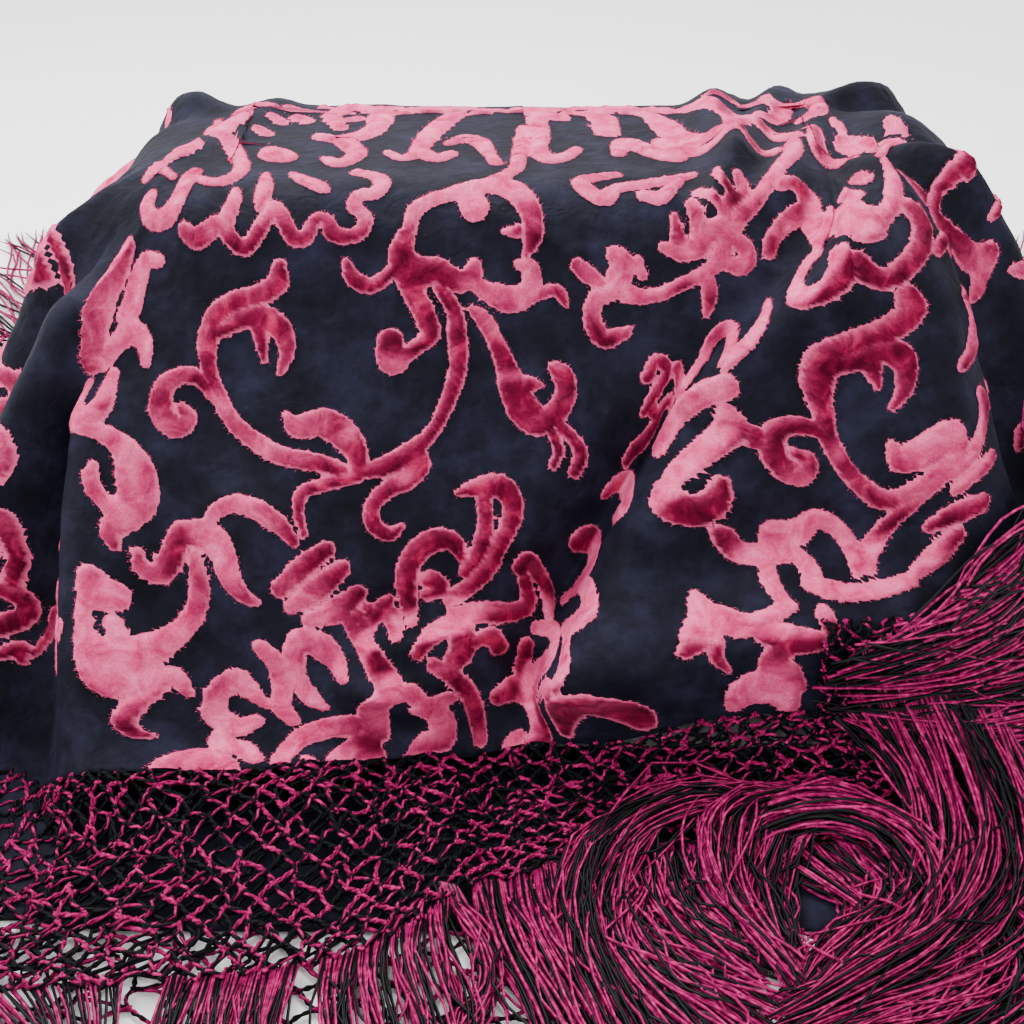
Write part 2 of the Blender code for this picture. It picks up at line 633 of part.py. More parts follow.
def make_fringes(collection, guides, look):
    section = make_profile(guides)
    for net, low, high in NETS:
        name = net.replace("net", "fringe")
        around = columns_between(low, high)
        edge = net_end(around[:, None]) + SEAM_GAP
        strip = add_draped(name, around[:, None], edge + np.array([0, STRIP]), 0, collection, look)
        middle = drape(around, edge[:, 0] + 0.5 * STRIP, -0.5 * WALL)
        make_fringe(name, strip, fringe_paths(name, around, middle), guides, section)
    around = FLAP_TO + SEAM_GAP + np.array([0, STRIP])
    past = np.linspace(FLAP_TOP, FLAP_FOOT, FLAP_SECTIONS + 1)
    strip = add_draped("fringe_flap", around[:, None], past, FLAP_LIFT, collection, look)
    paths = [flap_path(k / (FLAP_STRANDS - 1)) for k in range(FLAP_STRANDS)]
    make_fringe("fringe_flap", strip, paths, guides, section)


def main():
    for old in list(bpy.data.objects):
        bpy.data.objects.remove(old)
    shawl = bpy.data.collections.new("piano_shawl")
    guides = bpy.data.collections.new("guides")
    for group in (shawl, guides):
        bpy.context.scene.collection.children.link(group)
    velvet = make_material("velvet_on_crepe", (0.020, 0.016, 0.035), 0.75)
    net = make_material("knotted_yarn", (0.16, 0.008, 0.05), 0.6)
    floss = make_material("fringe_floss", (0.42, 0.012, 0.10), 0.4)
    board = make_material("block_board", (0.55, 0.53, 0.50), 0.8)
    make_block(shawl, board)
    make_cloth(shawl, velvet)
    make_nets(shawl, net)
    make_under(shawl, velvet, net)
    make_flap(shawl, net)
    make_fringes(shawl, guides, floss)


main()
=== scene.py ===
import math

import bpy
import numpy as np
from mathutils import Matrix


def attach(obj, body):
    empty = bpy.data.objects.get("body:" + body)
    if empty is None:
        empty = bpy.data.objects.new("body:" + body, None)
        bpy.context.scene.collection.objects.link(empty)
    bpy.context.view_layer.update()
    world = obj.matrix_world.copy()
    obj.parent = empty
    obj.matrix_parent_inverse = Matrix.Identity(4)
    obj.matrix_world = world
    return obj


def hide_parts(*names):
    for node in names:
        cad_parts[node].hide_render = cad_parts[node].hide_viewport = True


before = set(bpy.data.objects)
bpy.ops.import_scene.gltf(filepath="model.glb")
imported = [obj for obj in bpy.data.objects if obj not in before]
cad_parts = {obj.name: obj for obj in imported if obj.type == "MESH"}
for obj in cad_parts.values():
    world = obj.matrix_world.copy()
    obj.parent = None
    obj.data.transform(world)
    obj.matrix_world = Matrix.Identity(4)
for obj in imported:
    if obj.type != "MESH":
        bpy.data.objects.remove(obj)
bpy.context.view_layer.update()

# The drape of the shawl over its block, the same as its solids have, in metres.
TOP_Z = 0.270
CORE_X = 0.165
CORE_Y = 0.036
CORNER = 0.030
EDGE_RADIUS = 0.050
FOOT_RADIUS = 0.075
WALL = 0.002
SEAM_GAP = 0.0004
LAYER_GAP = 0.0006
FRONT_SLOPE = math.radians(59)
END_SLOPE = math.radians(64)
BACK_SLOPE = math.radians(70)
CORNER_EASE = math.radians(8)
CORNER_TURN = 0.16
QUARTER = 0.5 * math.pi * CORNER_TURN
FRONT_END = CORE_X
SIDE_START = FRONT_END + QUARTER
SIDE_END = SIDE_START + 2 * CORE_Y
BACK_START = SIDE_END + QUARTER
HALF_ROUND = BACK_START + CORE_X
STRIP = 0.004
UNDER_FROM, UNDER_TO = -0.15, 0.30
UNDER_START, UNDER_SEAM, UNDER_END = 0.325, 0.440, 0.560
UNDER_MARGIN = 0.040
TOP_MIDDLE = -CORNER - CORE_Y  # past value of the line along the middle of the flat top
FLOOR_CLEARANCE = 0.0015

HEM = (
    # around, past
    (-HALF_ROUND, 0.350),
    (-0.75, 0.352),
    (-0.61, 0.385),
    (-0.46, 0.366),
    (-0.36, 0.388),
    (-0.30, 0.372),
    (-0.26, 0.350),
    (-0.18, 0.350),
    (-0.10, 0.342),
    (-0.05, 0.327),
    (0.00, 0.318),
    (0.05, 0.320),
    (0.10, 0.306),
    (0.15, 0.302),
    (0.20, 0.316),
    (0.25, 0.342),
    (0.34, 0.385),
    (0.46, 0.366),
    (0.61, 0.385),
    (0.75, 0.352),
    (HALF_ROUND, 0.350),
)

NET_DEPTHS = (
    # around, depth
    (-HALF_ROUND, 0.115),
    (-0.28, 0.115),
    (-0.18, 0.108),
    (-0.10, 0.102),
    (-0.03, 0.094),
    (0.02, 0.078),
    (0.10, 0.078),
    (0.17, 0.086),
    (0.24, 0.100),
    (0.32, 0.115),
    (HALF_ROUND, 0.115),
)

FOLDS = (
    # name, around and past of top, middle and foot, width, height, lean
    ("long_ridge", 0.200, 0.060, 0.112, 0.140, 0.040, 0.290, 0.026, 0.030, -0.80),
    ("long_hollow", 0.140, 0.105, 0.066, 0.180, 0.008, 0.272, 0.027, -0.034, 0.00),
    ("right_swell", 0.235, 0.090, 0.190, 0.160, 0.130, 0.250, 0.065, 0.014, 0.00),
    ("left_lobe", -0.130, 0.210, -0.120, 0.270, -0.115, 0.345, 0.070, 0.024, 0.00),
    ("left_lobe_edge", -0.232, 0.160, -0.212, 0.250, -0.190, 0.350, 0.026, 0.020, -0.60),
    ("left_hollow", -0.262, 0.170, -0.250, 0.240, -0.232, 0.390, 0.022, -0.028, 0.00),
    ("left_flute", -0.292, 0.110, -0.296, 0.220, -0.290, 0.400, 0.030, 0.030, 0.40),
    ("left_end_hollow", -0.350, 0.110, -0.352, 0.240, -0.345, 0.420, 0.026, -0.024, 0.00),
    ("left_end_flute", -0.385, 0.080, -0.405, 0.220, -0.402, 0.420, 0.034, 0.024, 0.00),
    ("left_side_hollow", -0.462, 0.110, -0.465, 0.240, -0.455, 0.410, 0.028, -0.022, 0.00),
    ("left_side_flute", -0.515, 0.100, -0.518, 0.220, -0.512, 0.410, 0.034, 0.018, 0.00),
    ("back_left_hollow", -0.580, 0.110, -0.585, 0.240, -0.575, 0.420, 0.028, -0.020, 0.00),
    ("back_left_flute", -0.630, 0.050, -0.645, 0.200, -0.635, 0.400, 0.036, 0.024, 0.20),
    ("back_left_dip", -0.720, 0.120, -0.715, 0.220, -0.705, 0.380, 0.030, -0.016, 0.00),
    ("back_left_swell", -0.790, 0.080, -0.785, 0.200, -0.770, 0.380, 0.038, 0.016, 0.00),
    ("right_lobe", 0.075, 0.275, 0.120, 0.255, 0.185, 0.258, 0.030, 0.024, 0.00),
    ("right_lobe_foot", 0.095, 0.300, 0.130, 0.300, 0.185, 0.310, 0.045, 0.012, 0.00),
    ("lobe_crease", 0.078, 0.232, 0.125, 0.203, 0.200, 0.206, 0.018, -0.014, 0.00),
    ("right_shoulder", 0.250, 0.020, 0.235, 0.110, 0.228, 0.200, 0.036, 0.016, 0.00),
    ("right_hollow", 0.298, 0.095, 0.300, 0.220, 0.275, 0.390, 0.026, -0.022, 0.00),
    ("right_flute", 0.345, 0.040, 0.350, 0.190, 0.335, 0.420, 0.038, 0.032, 0.00),
    ("right_end_hollow", 0.404, 0.100, 0.404, 0.230, 0.395, 0.430, 0.030, -0.016, 0.00),
    ("right_end_flute", 0.456, 0.030, 0.462, 0.190, 0.455, 0.420, 0.042, 0.022, 0.00),
    ("right_side_hollow", 0.520, 0.110, 0.522, 0.240, 0.515, 0.430, 0.028, -0.022, 0.00),
    ("back_right_flute", 0.590, 0.040, 0.590, 0.200, 0.580, 0.420, 0.038, 0.028, 0.00),
    ("back_right_dip", 0.665, 0.110, 0.660, 0.220, 0.650, 0.400, 0.030, -0.018, 0.00),
    ("back_right_swell", 0.735, 0.060, 0.730, 0.200, 0.715, 0.380, 0.036, 0.020, 0.00),
    ("back_middle_dip", 0.830, 0.120, 0.835, 0.220, 0.830, 0.380, 0.032, -0.014, 0.00),
    ("slump_ridge", -0.078, 0.290, -0.025, 0.272, 0.030, 0.276, 0.022, 0.016, 0.00),
    ("slump_hollow", -0.070, 0.246, -0.022, 0.232, 0.030, 0.236, 0.020, -0.010, 0.00),
    ("lobe_gap", -0.034, 0.312, -0.014, 0.335, -0.004, 0.370, 0.024, -0.010, 0.00),
)

GATHERS = (
    # name, x and y of start, middle and end, width, height
    ("gather_corner", 0.190, 0.095, 0.172, 0.010, 0.140, -0.080, 0.014, 0.010),
    ("gather_back", 0.124, 0.110, 0.112, 0.030, 0.118, -0.050, 0.014, 0.011),
    ("gather_slant", 0.162, 0.095, 0.142, 0.035, 0.100, -0.100, 0.010, 0.007),
    ("gather_left", -0.150, 0.105, -0.165, 0.040, -0.190, -0.030, 0.013, 0.005),
)
GATHER_END = 0.16

RUFFLES = (
    # waves for each metre round, phase, share
    (9.5, 0.6, 0.55),
    (15.0, 2.1, 0.45),
)
RUFFLE_HEIGHT = 0.008
RUFFLE_SLANT = 9.0

NETS = (
    # name, around from, around to
    ("net_left", -0.690, -0.2487),
    ("net_front", -0.2487, 0.2487),
    ("net_right", 0.2487, 0.690),
)

FLAP_FROM, FLAP_TO = 0.150, 0.212
FLAP_TOP, FLAP_FOOT = 0.250, 0.330
FLAP_LIFT = WALL + 0.003

SWEPT_STRANDS = (
    # fringe, first and last root, strands, sweep of first and last, length of first and last
    ("fringe_left", -0.670, -0.480, 14, -0.25, 0.20, 0.25, 0.27),
    ("fringe_left", -0.465, -0.275, 16, 0.25, -0.10, 0.27, 0.25),
    ("fringe_right", 0.255, 0.460, 15, -0.25, 0.02, 0.25, 0.27),
    ("fringe_right", 0.480, 0.670, 14, 0.02, 0.25, 0.27, 0.25),
)

LOCK_STRANDS = (
    # first and last root, strands, tiers, and the lines of the first and the last strand, in millimetres
    (-0.240, -0.172, 10, 1,
     ((-248, -440), (-256, -480), (-268, -520), (-272, -565), (-268, -620)),
     ((-176, -455), (-184, -490), (-198, -525), (-204, -565), (-200, -625))),
    (-0.162, -0.104, 9, 1,
     ((-166, -455), (-160, -490), (-164, -530), (-176, -570), (-178, -630)),
     ((-106, -440), (-100, -475), (-106, -515), (-122, -560), (-126, -625))),
    (-0.094, -0.036, 11, 2,
     ((-96, -430), (-86, -460), (-84, -500), (-98, -545), (-102, -600)),
     ((-36, -390), (-21, -415), (-22, -450), (-40, -500), (-56, -560))),
    (-0.026, 0.026, 14, 2,
     ((-20, -385), (-4, -415), (6, -455), (4, -505), (-12, -560)),
     ((30, -360), (40, -385), (52, -410), (70, -440), (94, -475))),
    (0.036, 0.102, 15, 2,
     ((40, -352), (46, -372), (60, -392), (78, -405), (100, -412)),
     ((103, -340), (106, -350), (111, -358), (117, -366), (122, -374))),
    (0.116, 0.226, 17, 2,
     ((131, -334), (146, -350), (160, -366), (158, -382), (140, -392)),
     ((272, -366), (278, -402), (254, -440), (206, -466), (140, -474))),
)

# Loose strands in front that lie over the net and over other locks, seen only in the looks.
LOOSE_LOCKS = (
    # strands, height of the heap, and the lines of the first and the last strand, in millimetres
    (60, 0.012,
     ((136, -279), (95, -287), (81, -315), (86, -345), (96, -375), (116, -392), (124, -410)),
     ((146, -288), (124, -298), (112, -320), (110, -345), (114, -370), (122, -388), (128, -406))),
    (150, 0.016,
     ((158, -262), (182, -270), (192, -296), (188, -328), (176, -352), (156, -374), (136, -392),
      (120, -408)),
     ((226, -240), (258, -278), (266, -325), (252, -366), (219, -398), (180, -418), (135, -432),
      (100, -444))),
    (40, 0.008,
     ((118, -292), (116, -318), (108, -342), (106, -362), (114, -384), (122, -400)),
     ((150, -300), (136, -322), (126, -345), (126, -365), (128, -384), (130, -402))),
    (64, 0.010,
     ((150, -325), (160, -345), (150, -366), (134, -384), (122, -402)),
     ((190, -330), (186, -352), (168, -372), (142, -390), (126, -406))),
    (90, 0.010,
     ((39, -332), (34, -363), (37, -389), (46, -415), (62, -440), (84, -470)),
     ((74, -330), (58, -350), (60, -376), (78, -395), (102, -404), (120, -412))),
    (80, 0.009,
     ((128, -280), (90, -278), (55, -286), (30, -303), (17, -333), (14, -370), (22, -410), (40, -450)),
     ((130, -294), (95, -298), (70, -309), (54, -326), (44, -352), (46, -380), (56, -410), (74, -445))),
    (44, 0.014,
     ((90, -296), (140, -283), (190, -300), (216, -342), (198, -386), (150, -412)),
     ((104, -322), (140, -312), (174, -327), (188, -352), (172, -377), (140, -396))),
    (26, 0.006,
     ((-45, -350), (-28, -380), (-22, -398), (-28, -420), (-36, -440), (-40, -480)),
     ((-30, -352), (-18, -378), (-12, -398), (-18, -420), (-26, -440), (-30, -480))),
)
FLAP_STRAND_LENGTH = 0.13
FAN_UP, FAN_DOWN = 0.040, 0.030
BRIDGE = 0.016

# Finer creases of the sheer crepe: ridges and troughs that only the looks have.
CREASES = (
    # around and past of start, middle and end, width, height, in millimetres
    (-20, 30, 10, 50, 50, 60, 5, 1.6),
    (-60, 120, -20, 128, 20, 120, 4.5, 1),
    (10, 85, 30, 120, 34, 165, 5, 1.4),
    (-90, 90, -100, 120, -95, 150, 5, -1),
    (-170, 70, -120, 62, -70, 75, 5.5, 1),
    (-60, 180, -50, 200, -20, 225, 4.5, 1.8),
    (-100, 225, -70, 232, -40, 228, 4.5, 1.8),
    (-50, 245, -20, 250, 15, 246, 4, 2.4),
    (-10, 205, 10, 225, 40, 235, 4.5, 2),
    (0, 275, 20, 285, 45, 290, 4.5, -1.8),
    (-78, 264, -30, 257, 24, 262, 7, 4),
    (-74, 278, -30, 271, 20, 275, 6, -3.4),
    (-90, 282, -64, 299, -48, 324, 8, 4),
    (-52, 286, -34, 304, -30, 322, 6, -3.2),
    (12, 240, 26, 262, 22, 300, 6, 3),
    (-10, 288, 4, 300, 6, 318, 5.5, 3),
    (-150, 262, -130, 280, -126, 330, 8, -1.8),
    (-216, 110, -196, 140, -186, 180, 6, 1.8),
    (-100, 4, -40, -10, 30, -4, 5, 1.2),
    (-140, -40, -110, -60, -60, -66, 6, 1.2),
    (20, -60, 50, -40, 90, -20, 5, 1.8),
    (90, -50, 110, -10, 100, 30, 5.5, 2.2),
    (-170, 180, -180, 230, -172, 290, 6, -1.4),
    (-200, 100, -205, 160, -200, 220, 6, 1.6),
    (-135, 190, -140, 250, -130, 310, 7, 1.2),
    (80, 20, 120, 60, 150, 70, 5, 2.2),
    (110, 10, 135, 45, 150, 90, 4.5, -1.8),
    (160, 0, 165, 40, 150, 80, 5, 2.6),
    (185, 10, 195, 50, 190, 90, 5, 2),
    (150, 110, 130, 150, 100, 190, 5, 1.4),
    (190, 120, 170, 160, 150, 210, 6, 1.6),
    (220, 130, 205, 180, 195, 220, 5, 1.6),
    (70, 215, 100, 222, 140, 218, 4.5, -1.6),
    (60, 250, 100, 262, 150, 262, 5.5, 1.4),
    (260, 60, 262, 130, 256, 200, 6, 1.8),
    (320, 50, 318, 130, 310, 230, 6, -1.8),
    (370, 60, 380, 150, 372, 240, 6, 1.8),
    (430, 30, 436, 110, 428, 200, 6, 1.8),
    (485, 50, 490, 140, 486, 240, 6, -1.6),
    (550, 60, 556, 160, 548, 250, 6, 1.8),
    (625, 50, 630, 150, 620, 250, 6, 1.6),
    (700, 80, 690, 170, 696, 260, 6, -1.6),
    (770, 30, 775, 110, 765, 220, 6, 1.6),
    (860, 50, 870, 150, 862, 260, 6, 1.4),
    (-270, 50, -276, 120, -272, 200, 6, 1.8),
    (-320, 60, -326, 150, -320, 250, 6, -1.8),
    (-375, 60, -372, 150, -380, 240, 6, 1.6),
    (-435, 40, -430, 130, -436, 230, 6, 1.8),
    (-490, 60, -492, 160, -486, 250, 6, 1.4),
    (-550, 50, -546, 140, -556, 240, 6, -1.6),
    (-610, 60, -616, 160, -606, 250, 6, 1.8),
    (-680, 40, -676, 130, -684, 230, 6, 1.6),
    (-755, 70, -750, 160, -744, 250, 6, 1.4),
    (-840, 50, -846, 140, -838, 250, 6, -1.4),
)

# The velvet pattern, in millimetres on the flat cloth: how far round from the middle
# of the front, how far down from the front edge of the flat top, and half the stroke's width.
LEFT_SCROLL = (
    ((-131, 62, 4), (-133, 72, 6), (-143, 78, 6), (-156, 82, 6), (-166, 91, 6.5), (-170, 104, 6),
     (-168, 120, 4.5), (-162, 134, 4.5), (-154, 147, 4.5), (-142, 157, 5), (-127, 165, 5), (-110, 168, 5),
     (-97, 172, 4)),
    ((-163, 97, 5), (-152, 91, 6), (-140, 90, 7), (-130, 97, 6), (-127, 108, 4.5), (-130, 119, 2.5)),
    ((-142, 95, 5), (-139, 113, 2)),
    ((-165, 133, 3.5), (-173, 124, 4.5), (-184, 122, 5), (-192, 130, 5), (-192, 143, 6), (-185, 150, 6.5),
     (-179, 145, 5), (-183, 139, 3)),
)
LEFT_LEAVES = (
    ((-127, 142, 1.5), (-120, 149, 6), (-107, 147, 8), (-96, 153, 8), (-89, 163, 6), (-88, 174, 4)),
    ((-88, 175, 4), (-102, 179, 4), (-116, 184, 4), (-118, 194, 3), (-115, 206, 2)),
)
BUD = (
    ((-104, 214, 5), (-116, 223, 6), (-127, 234, 5)),
    ((-96, 224, 5), (-108, 234, 6.5), (-121, 243, 4.5)),
    ((-88, 237, 5), (-99, 246, 6.5), (-112, 250, 4.5)),
    ((-88, 248, 4), (-84, 254, 3.5)),
)
BRANCH = (
    ((-120, 210, 3), (-128, 201, 5), (-140, 193, 5.5), (-152, 190, 5), (-163, 195, 4), (-165, 202, 2.5)),
    ((-178, 206, 7), (-167, 206, 8), (-158, 215, 7), (-154, 228, 6), (-146, 238, 4), (-139, 241, 2)),
    ((-180, 208, 6), (-184, 221, 6), (-188, 228, 5.5), (-195, 225, 4), (-197, 217, 2)),
    ((-173, 216, 3), (-170, 231, 5), (-171, 245, 5.5), (-179, 258, 6), (-191, 268, 8), (-203, 275, 10),
     (-212, 270, 8)),
    ((-215, 234, 6), (-212, 241, 9), (-206, 242, 8)),
    ((-217, 246, 4), (-217, 262, 5), (-212, 280, 8), (-204, 286, 8)),
    ((-205, 255, 4), (-201, 263, 3)),
    ((-206, 286, 7), (-190, 284, 6), (-180, 280, 4.5), (-174, 288, 3)),
    ((-186, 288, 3.5), (-194, 297, 5), (-197, 307, 5), (-192, 315, 4), (-186, 317, 2.5)),
)
SIDE_LEAF = (
    ((-226, 158, 5), (-214, 160, 5), (-205, 166, 6), (-200, 177, 8), (-198, 191, 8), (-203, 202, 7),
     (-207, 209, 5), (-205, 217, 2.5)),
    ((-205, 200, 4), (-213, 193, 4), (-217, 185, 4), (-216, 177, 2)),
    ((-223, 128, 4), (-218, 142, 5), (-220, 152, 6), (-228, 156, 8), (-235, 149, 7), (-237, 137, 4)),
    ((-205, 118, 3.5), (-208, 108, 6), (-216, 103, 7), (-226, 112, 5), (-233, 124, 5)),
    ((-201, 62, 4), (-210, 64, 5), (-215, 76, 6), (-217, 88, 6), (-221, 98, 6)),
    ((-223, 58, 5), (-228, 73, 6), (-233, 90, 6), (-237, 106, 6), (-240, 125, 7)),
    ((-183, -6, 4), (-188, 10, 5), (-191, 24, 5), (-196, 36, 6), (-206, 41, 6), (-214, 35, 6),
     (-212, 27, 3.5)),
)
FLOWER = (
    ((-184, 44, 5), (-177, 48, 6), (-169, 42, 6), (-164, 38, 4.5), (-157, 48, 4.5), (-150, 53, 4.5),
     (-144, 46, 4.5), (-139, 36, 4.5), (-135, 28, 4), (-130, 36, 4.5), (-124, 47, 4.5), (-117, 46, 4.5),
     (-113, 37, 4), (-107, 36, 4), (-103, 44, 5), (-95, 46, 4.5), (-88, 43, 4.5), (-86, 35, 4),
     (-92, 28, 4), (-90, 21, 4), (-81, 18, 4.5), (-78, 8, 5), (-84, 0, 4.5), (-93, -6, 4)),
    ((-161, 38, 5), (-158, 27, 4.5), (-157, 16, 3)),
    ((-182, 4, 3.5), (-170, 8, 4), (-161, 2, 4.5), (-158, -14, 4.5), (-163, -34, 5), (-172, -60, 6)),
    ((-143, -4, 2), (-142, 10, 4.5), (-142, 22, 4.5), (-143, 30, 2)),
    ((-129, -4, 2), (-121, 5, 4.5), (-113, 12, 4.5), (-108, 16, 2.5)),
    ((-146, -46, 6), (-142, -38, 10), (-137, -34, 8)),
)
CROWN = (
    ((-62, 42, 4), (-59, 30, 4.5), (-50, 23, 4.5), (-38, 18, 5), (-24, 12, 6), (-10, 14, 8), (-1, 24, 7),
     (4, 36, 6), (4, 48, 5), (0, 57, 2)),
    ((-4, 44, 3.5), (-11, 44, 2)),
    ((-30, 20, 8), (-27, 30, 8)),
    ((-24, 12, 4.5), (-13, 2, 4.5), (-5, -14, 4.5), (-3, -34, 4.5), (-1, -60, 5), (1, -90, 5)),
    ((-64, 46, 5), (-66, 58, 8), (-58, 66, 9), (-48, 64, 7), (-38, 70, 6.5), (-29, 69, 6), (-27, 61, 3.5)),
    ((-96, 60, 2.5), (-92, 69, 4.5), (-82, 73, 4.5), (-72, 66, 4)),
    ((-66, 62, 7), (-60, 76, 6), (-54, 88, 6), (-51, 99, 5.5), (-58, 106, 4.5), (-64, 110, 5),
     (-71, 113, 8), (-72, 103, 7.5)),
    ((-46, 74, 3.5), (-38, 86, 4.5), (-36, 102, 5.5), (-36, 118, 5), (-41, 134, 4.5), (-48, 149, 4),
     (-58, 160, 5), (-72, 169, 6), (-88, 174, 3.5)),
    ((-62, 162, 5), (-57, 168, 7), (-62, 176, 6), (-72, 182, 5), (-80, 190, 4.5), (-80, 200, 4.5),
     (-72, 206, 4), (-66, 202, 2.5)),
)
MIDDLE_LEAF = (
    ((-30, 70, 3), (-20, 76, 5.5), (-8, 80, 7.5), (2, 76, 6), (3, 64, 5), (-3, 61, 3)),
    ((4, 78, 4.5), (15, 75, 3.5), (20, 79, 3), (22, 84, 1.5)),
    ((-29, 85, 2), (-23, 90, 4.5), (-17, 100, 4.5), (-11, 114, 5.5), (-6, 128, 8), (0, 140, 9),
     (8, 146, 7.5), (17, 140, 6.5), (22, 130, 6), (20, 121, 5.5), (16, 117, 4)),
    ((2, 126, 5), (8, 126, 2)),
    ((14, 150, 3), (16, 156, 3), (18, 162, 3), (15, 169, 2.5)),
    ((19, 148, 3.5), (26, 155, 3.5), (30, 163, 4), (27, 172, 4)),
)
UPPER_STEMS = (
    ((51, -2, 3), (40, 2, 4), (30, 8, 4.5), (35, 17, 5), (43, 22, 6), (50, 14, 4), (64, 10, 4),
     (78, 6, 4), (92, 0, 3.5)),
    ((64, 20, 4), (74, 22, 5.5), (80, 14, 4), (84, 8, 3)),
    ((28, 62, 4), (34, 67, 5), (41, 72, 3)),
    ((48, 56, 5), (52, 62, 7), (50, 72, 6.5), (58, 78, 5), (70, 78, 4), (82, 73, 4), (96, 66, 4),
     (106, 58, 5)),
    ((60, 60, 3.5), (63, 68, 2.5)),
    ((50, 74, 6), (38, 80, 5), (36, 92, 5), (42, 101, 5.5), (51, 99, 4), (56, 96, 2)),
    ((97, 68, 4), (99, 78, 4.5), (98, 88, 2.5)),
    ((74, 52, 3), (84, 54, 6), (94, 51, 6), (92, 40, 4), (89, 30, 3)),
    ((82, 50, 5), (81, 40, 3), (80, 34, 2)),
    ((94, 48, 5), (104, 44, 5), (108, 38, 4), (100, 30, 3), (93, 22, 3.5)),
    ((108, 32, 4), (112, 24, 4.5), (106, 16, 4), (104, 8, 2)),
    ((112, 26, 4.5), (118, 18, 4), (116, 8, 3)),
)
RIGHT_STEM = (
    ((152, -34, 4.5), (150, -16, 5), (143, 0, 5), (134, 14, 4.5), (124, 26, 4.5), (114, 38, 5),
     (108, 48, 5), (104, 58, 5)),
    ((110, 46, 5), (118, 54, 5), (117, 62, 5.5), (110, 62, 4)),
    ((138, 20, 3.5), (146, 20, 4), (152, 26, 6), (153, 36, 7), (158, 46, 6), (161, 56, 3)),
    ((150, 34, 7), (142, 38, 6), (134, 46, 5), (131, 55, 4.5)),
    ((163, 58, 3.5), (157, 64, 5), (156, 76, 6), (164, 84, 6), (174, 82, 5.5), (180, 72, 5), (178, 62, 4)),
    ((164, 44, 6), (174, 44, 8), (184, 48, 7), (188, 56, 4)),
    ((174, 30, 4), (180, 34, 4)),
    ((165, 36, 3), (168, 38, 3)),
    ((180, 20, 3.5), (184, 24, 3)),
    ((193, 18, 2), (194, 32, 3.5), (191, 46, 3), (187, 54, 2)),
    ((184, 66, 3), (188, 76, 4.5), (194, 78, 5), (200, 70, 5), (204, 60, 5), (203, 48, 4.5), (198, 42, 3)),
    ((205, 22, 2.5), (212, 30, 4), (219, 38, 3)),
    ((212, 66, 4.5), (220, 60, 5), (228, 64, 7), (234, 58, 5), (226, 48, 4), (228, 38, 4), (240, 36, 4)),
)
LONG_FOLD_LEAVES = (
    ((104, 112, 5), (104, 104, 5), (110, 97, 5), (118, 98, 4.5), (124, 106, 4.5), (124, 115, 2.5)),
    ((104, 108, 4.5), (101, 120, 5), (97, 128, 5), (90, 123, 4), (84, 116, 3.5)),
    ((138, 84, 3), (142, 92, 5), (140, 102, 6), (132, 112, 5), (128, 118, 2.5)),
    ((128, 128, 7), (112, 134, 8), (100, 145, 8), (93, 158, 7)),
    ((127, 139, 3), (126, 148, 6), (120, 156, 6), (112, 164, 5.5), (104, 172, 5), (99, 178, 4)),
    ((132, 152, 4), (130, 158, 3)),
    ((96, 182, 5), (97, 190, 8), (104, 194, 8), (112, 188, 6), (116, 178, 3)),
    ((66, 122, 4), (71, 113, 4), (78, 118, 4), (74, 128, 4), (69, 136, 4), (78, 144, 5), (72, 154, 6),
     (63, 160, 5), (59, 166, 4)),
    ((72, 126, 2), (66, 140, 3)),
    ((78, 142, 4.5), (84, 134, 4), (92, 136, 3.5)),
    ((46, 184, 3), (54, 178, 5), (66, 178, 7), (70, 188, 6.5), (62, 196, 4)),
    ((31, 210, 6), (38, 208, 8), (45, 212, 7), (46, 222, 5), (38, 234, 4), (26, 242, 3)),
    ((40, 232, 5), (52, 236, 6.5), (55, 244, 6), (46, 252, 5), (34, 256, 4)),
)
RIGHT_SCROLL = (
    ((198, 86, 4), (199, 96, 6.5), (190, 103, 6.5), (180, 107, 6), (170, 114, 6.5), (163, 126, 6),
     (161, 140, 5), (161, 156, 4.5), (167, 170, 4.5), (176, 181, 4.5), (188, 189, 5), (200, 188, 5.5),
     (212, 182, 6), (218, 176, 5)),
    ((168, 118, 5), (178, 115, 6.5), (189, 113, 6.5), (196, 121, 5.5), (196, 134, 4.5), (191, 142, 2.5)),
    ((182, 118, 5), (184, 131, 2)),
    ((160, 154, 3.5), (152, 149, 5), (142, 150, 5), (136, 160, 5), (139, 171, 6), (147, 174, 6.5),
     (150, 167, 4.5), (145, 163, 3)),
    ((190, 161, 2.5), (194, 170, 5.5), (204, 168, 9), (216, 163, 9), (222, 168, 7), (221, 178, 5)),
    ((218, 180, 4.5), (206, 190, 5), (196, 199, 5), (188, 208, 5.5), (181, 216, 5.5), (179, 224, 4)),
    ((222, 182, 3.5), (232, 174, 4.5), (240, 164, 4.5), (244, 152, 5), (240, 144, 3.5)),
    ((224, 190, 3.5), (236, 184, 4), (250, 178, 4)),
    ((214, 206, 4), (226, 202, 6), (240, 200, 5)),
    ((204, 228, 4), (216, 222, 6), (226, 214, 5)),
)
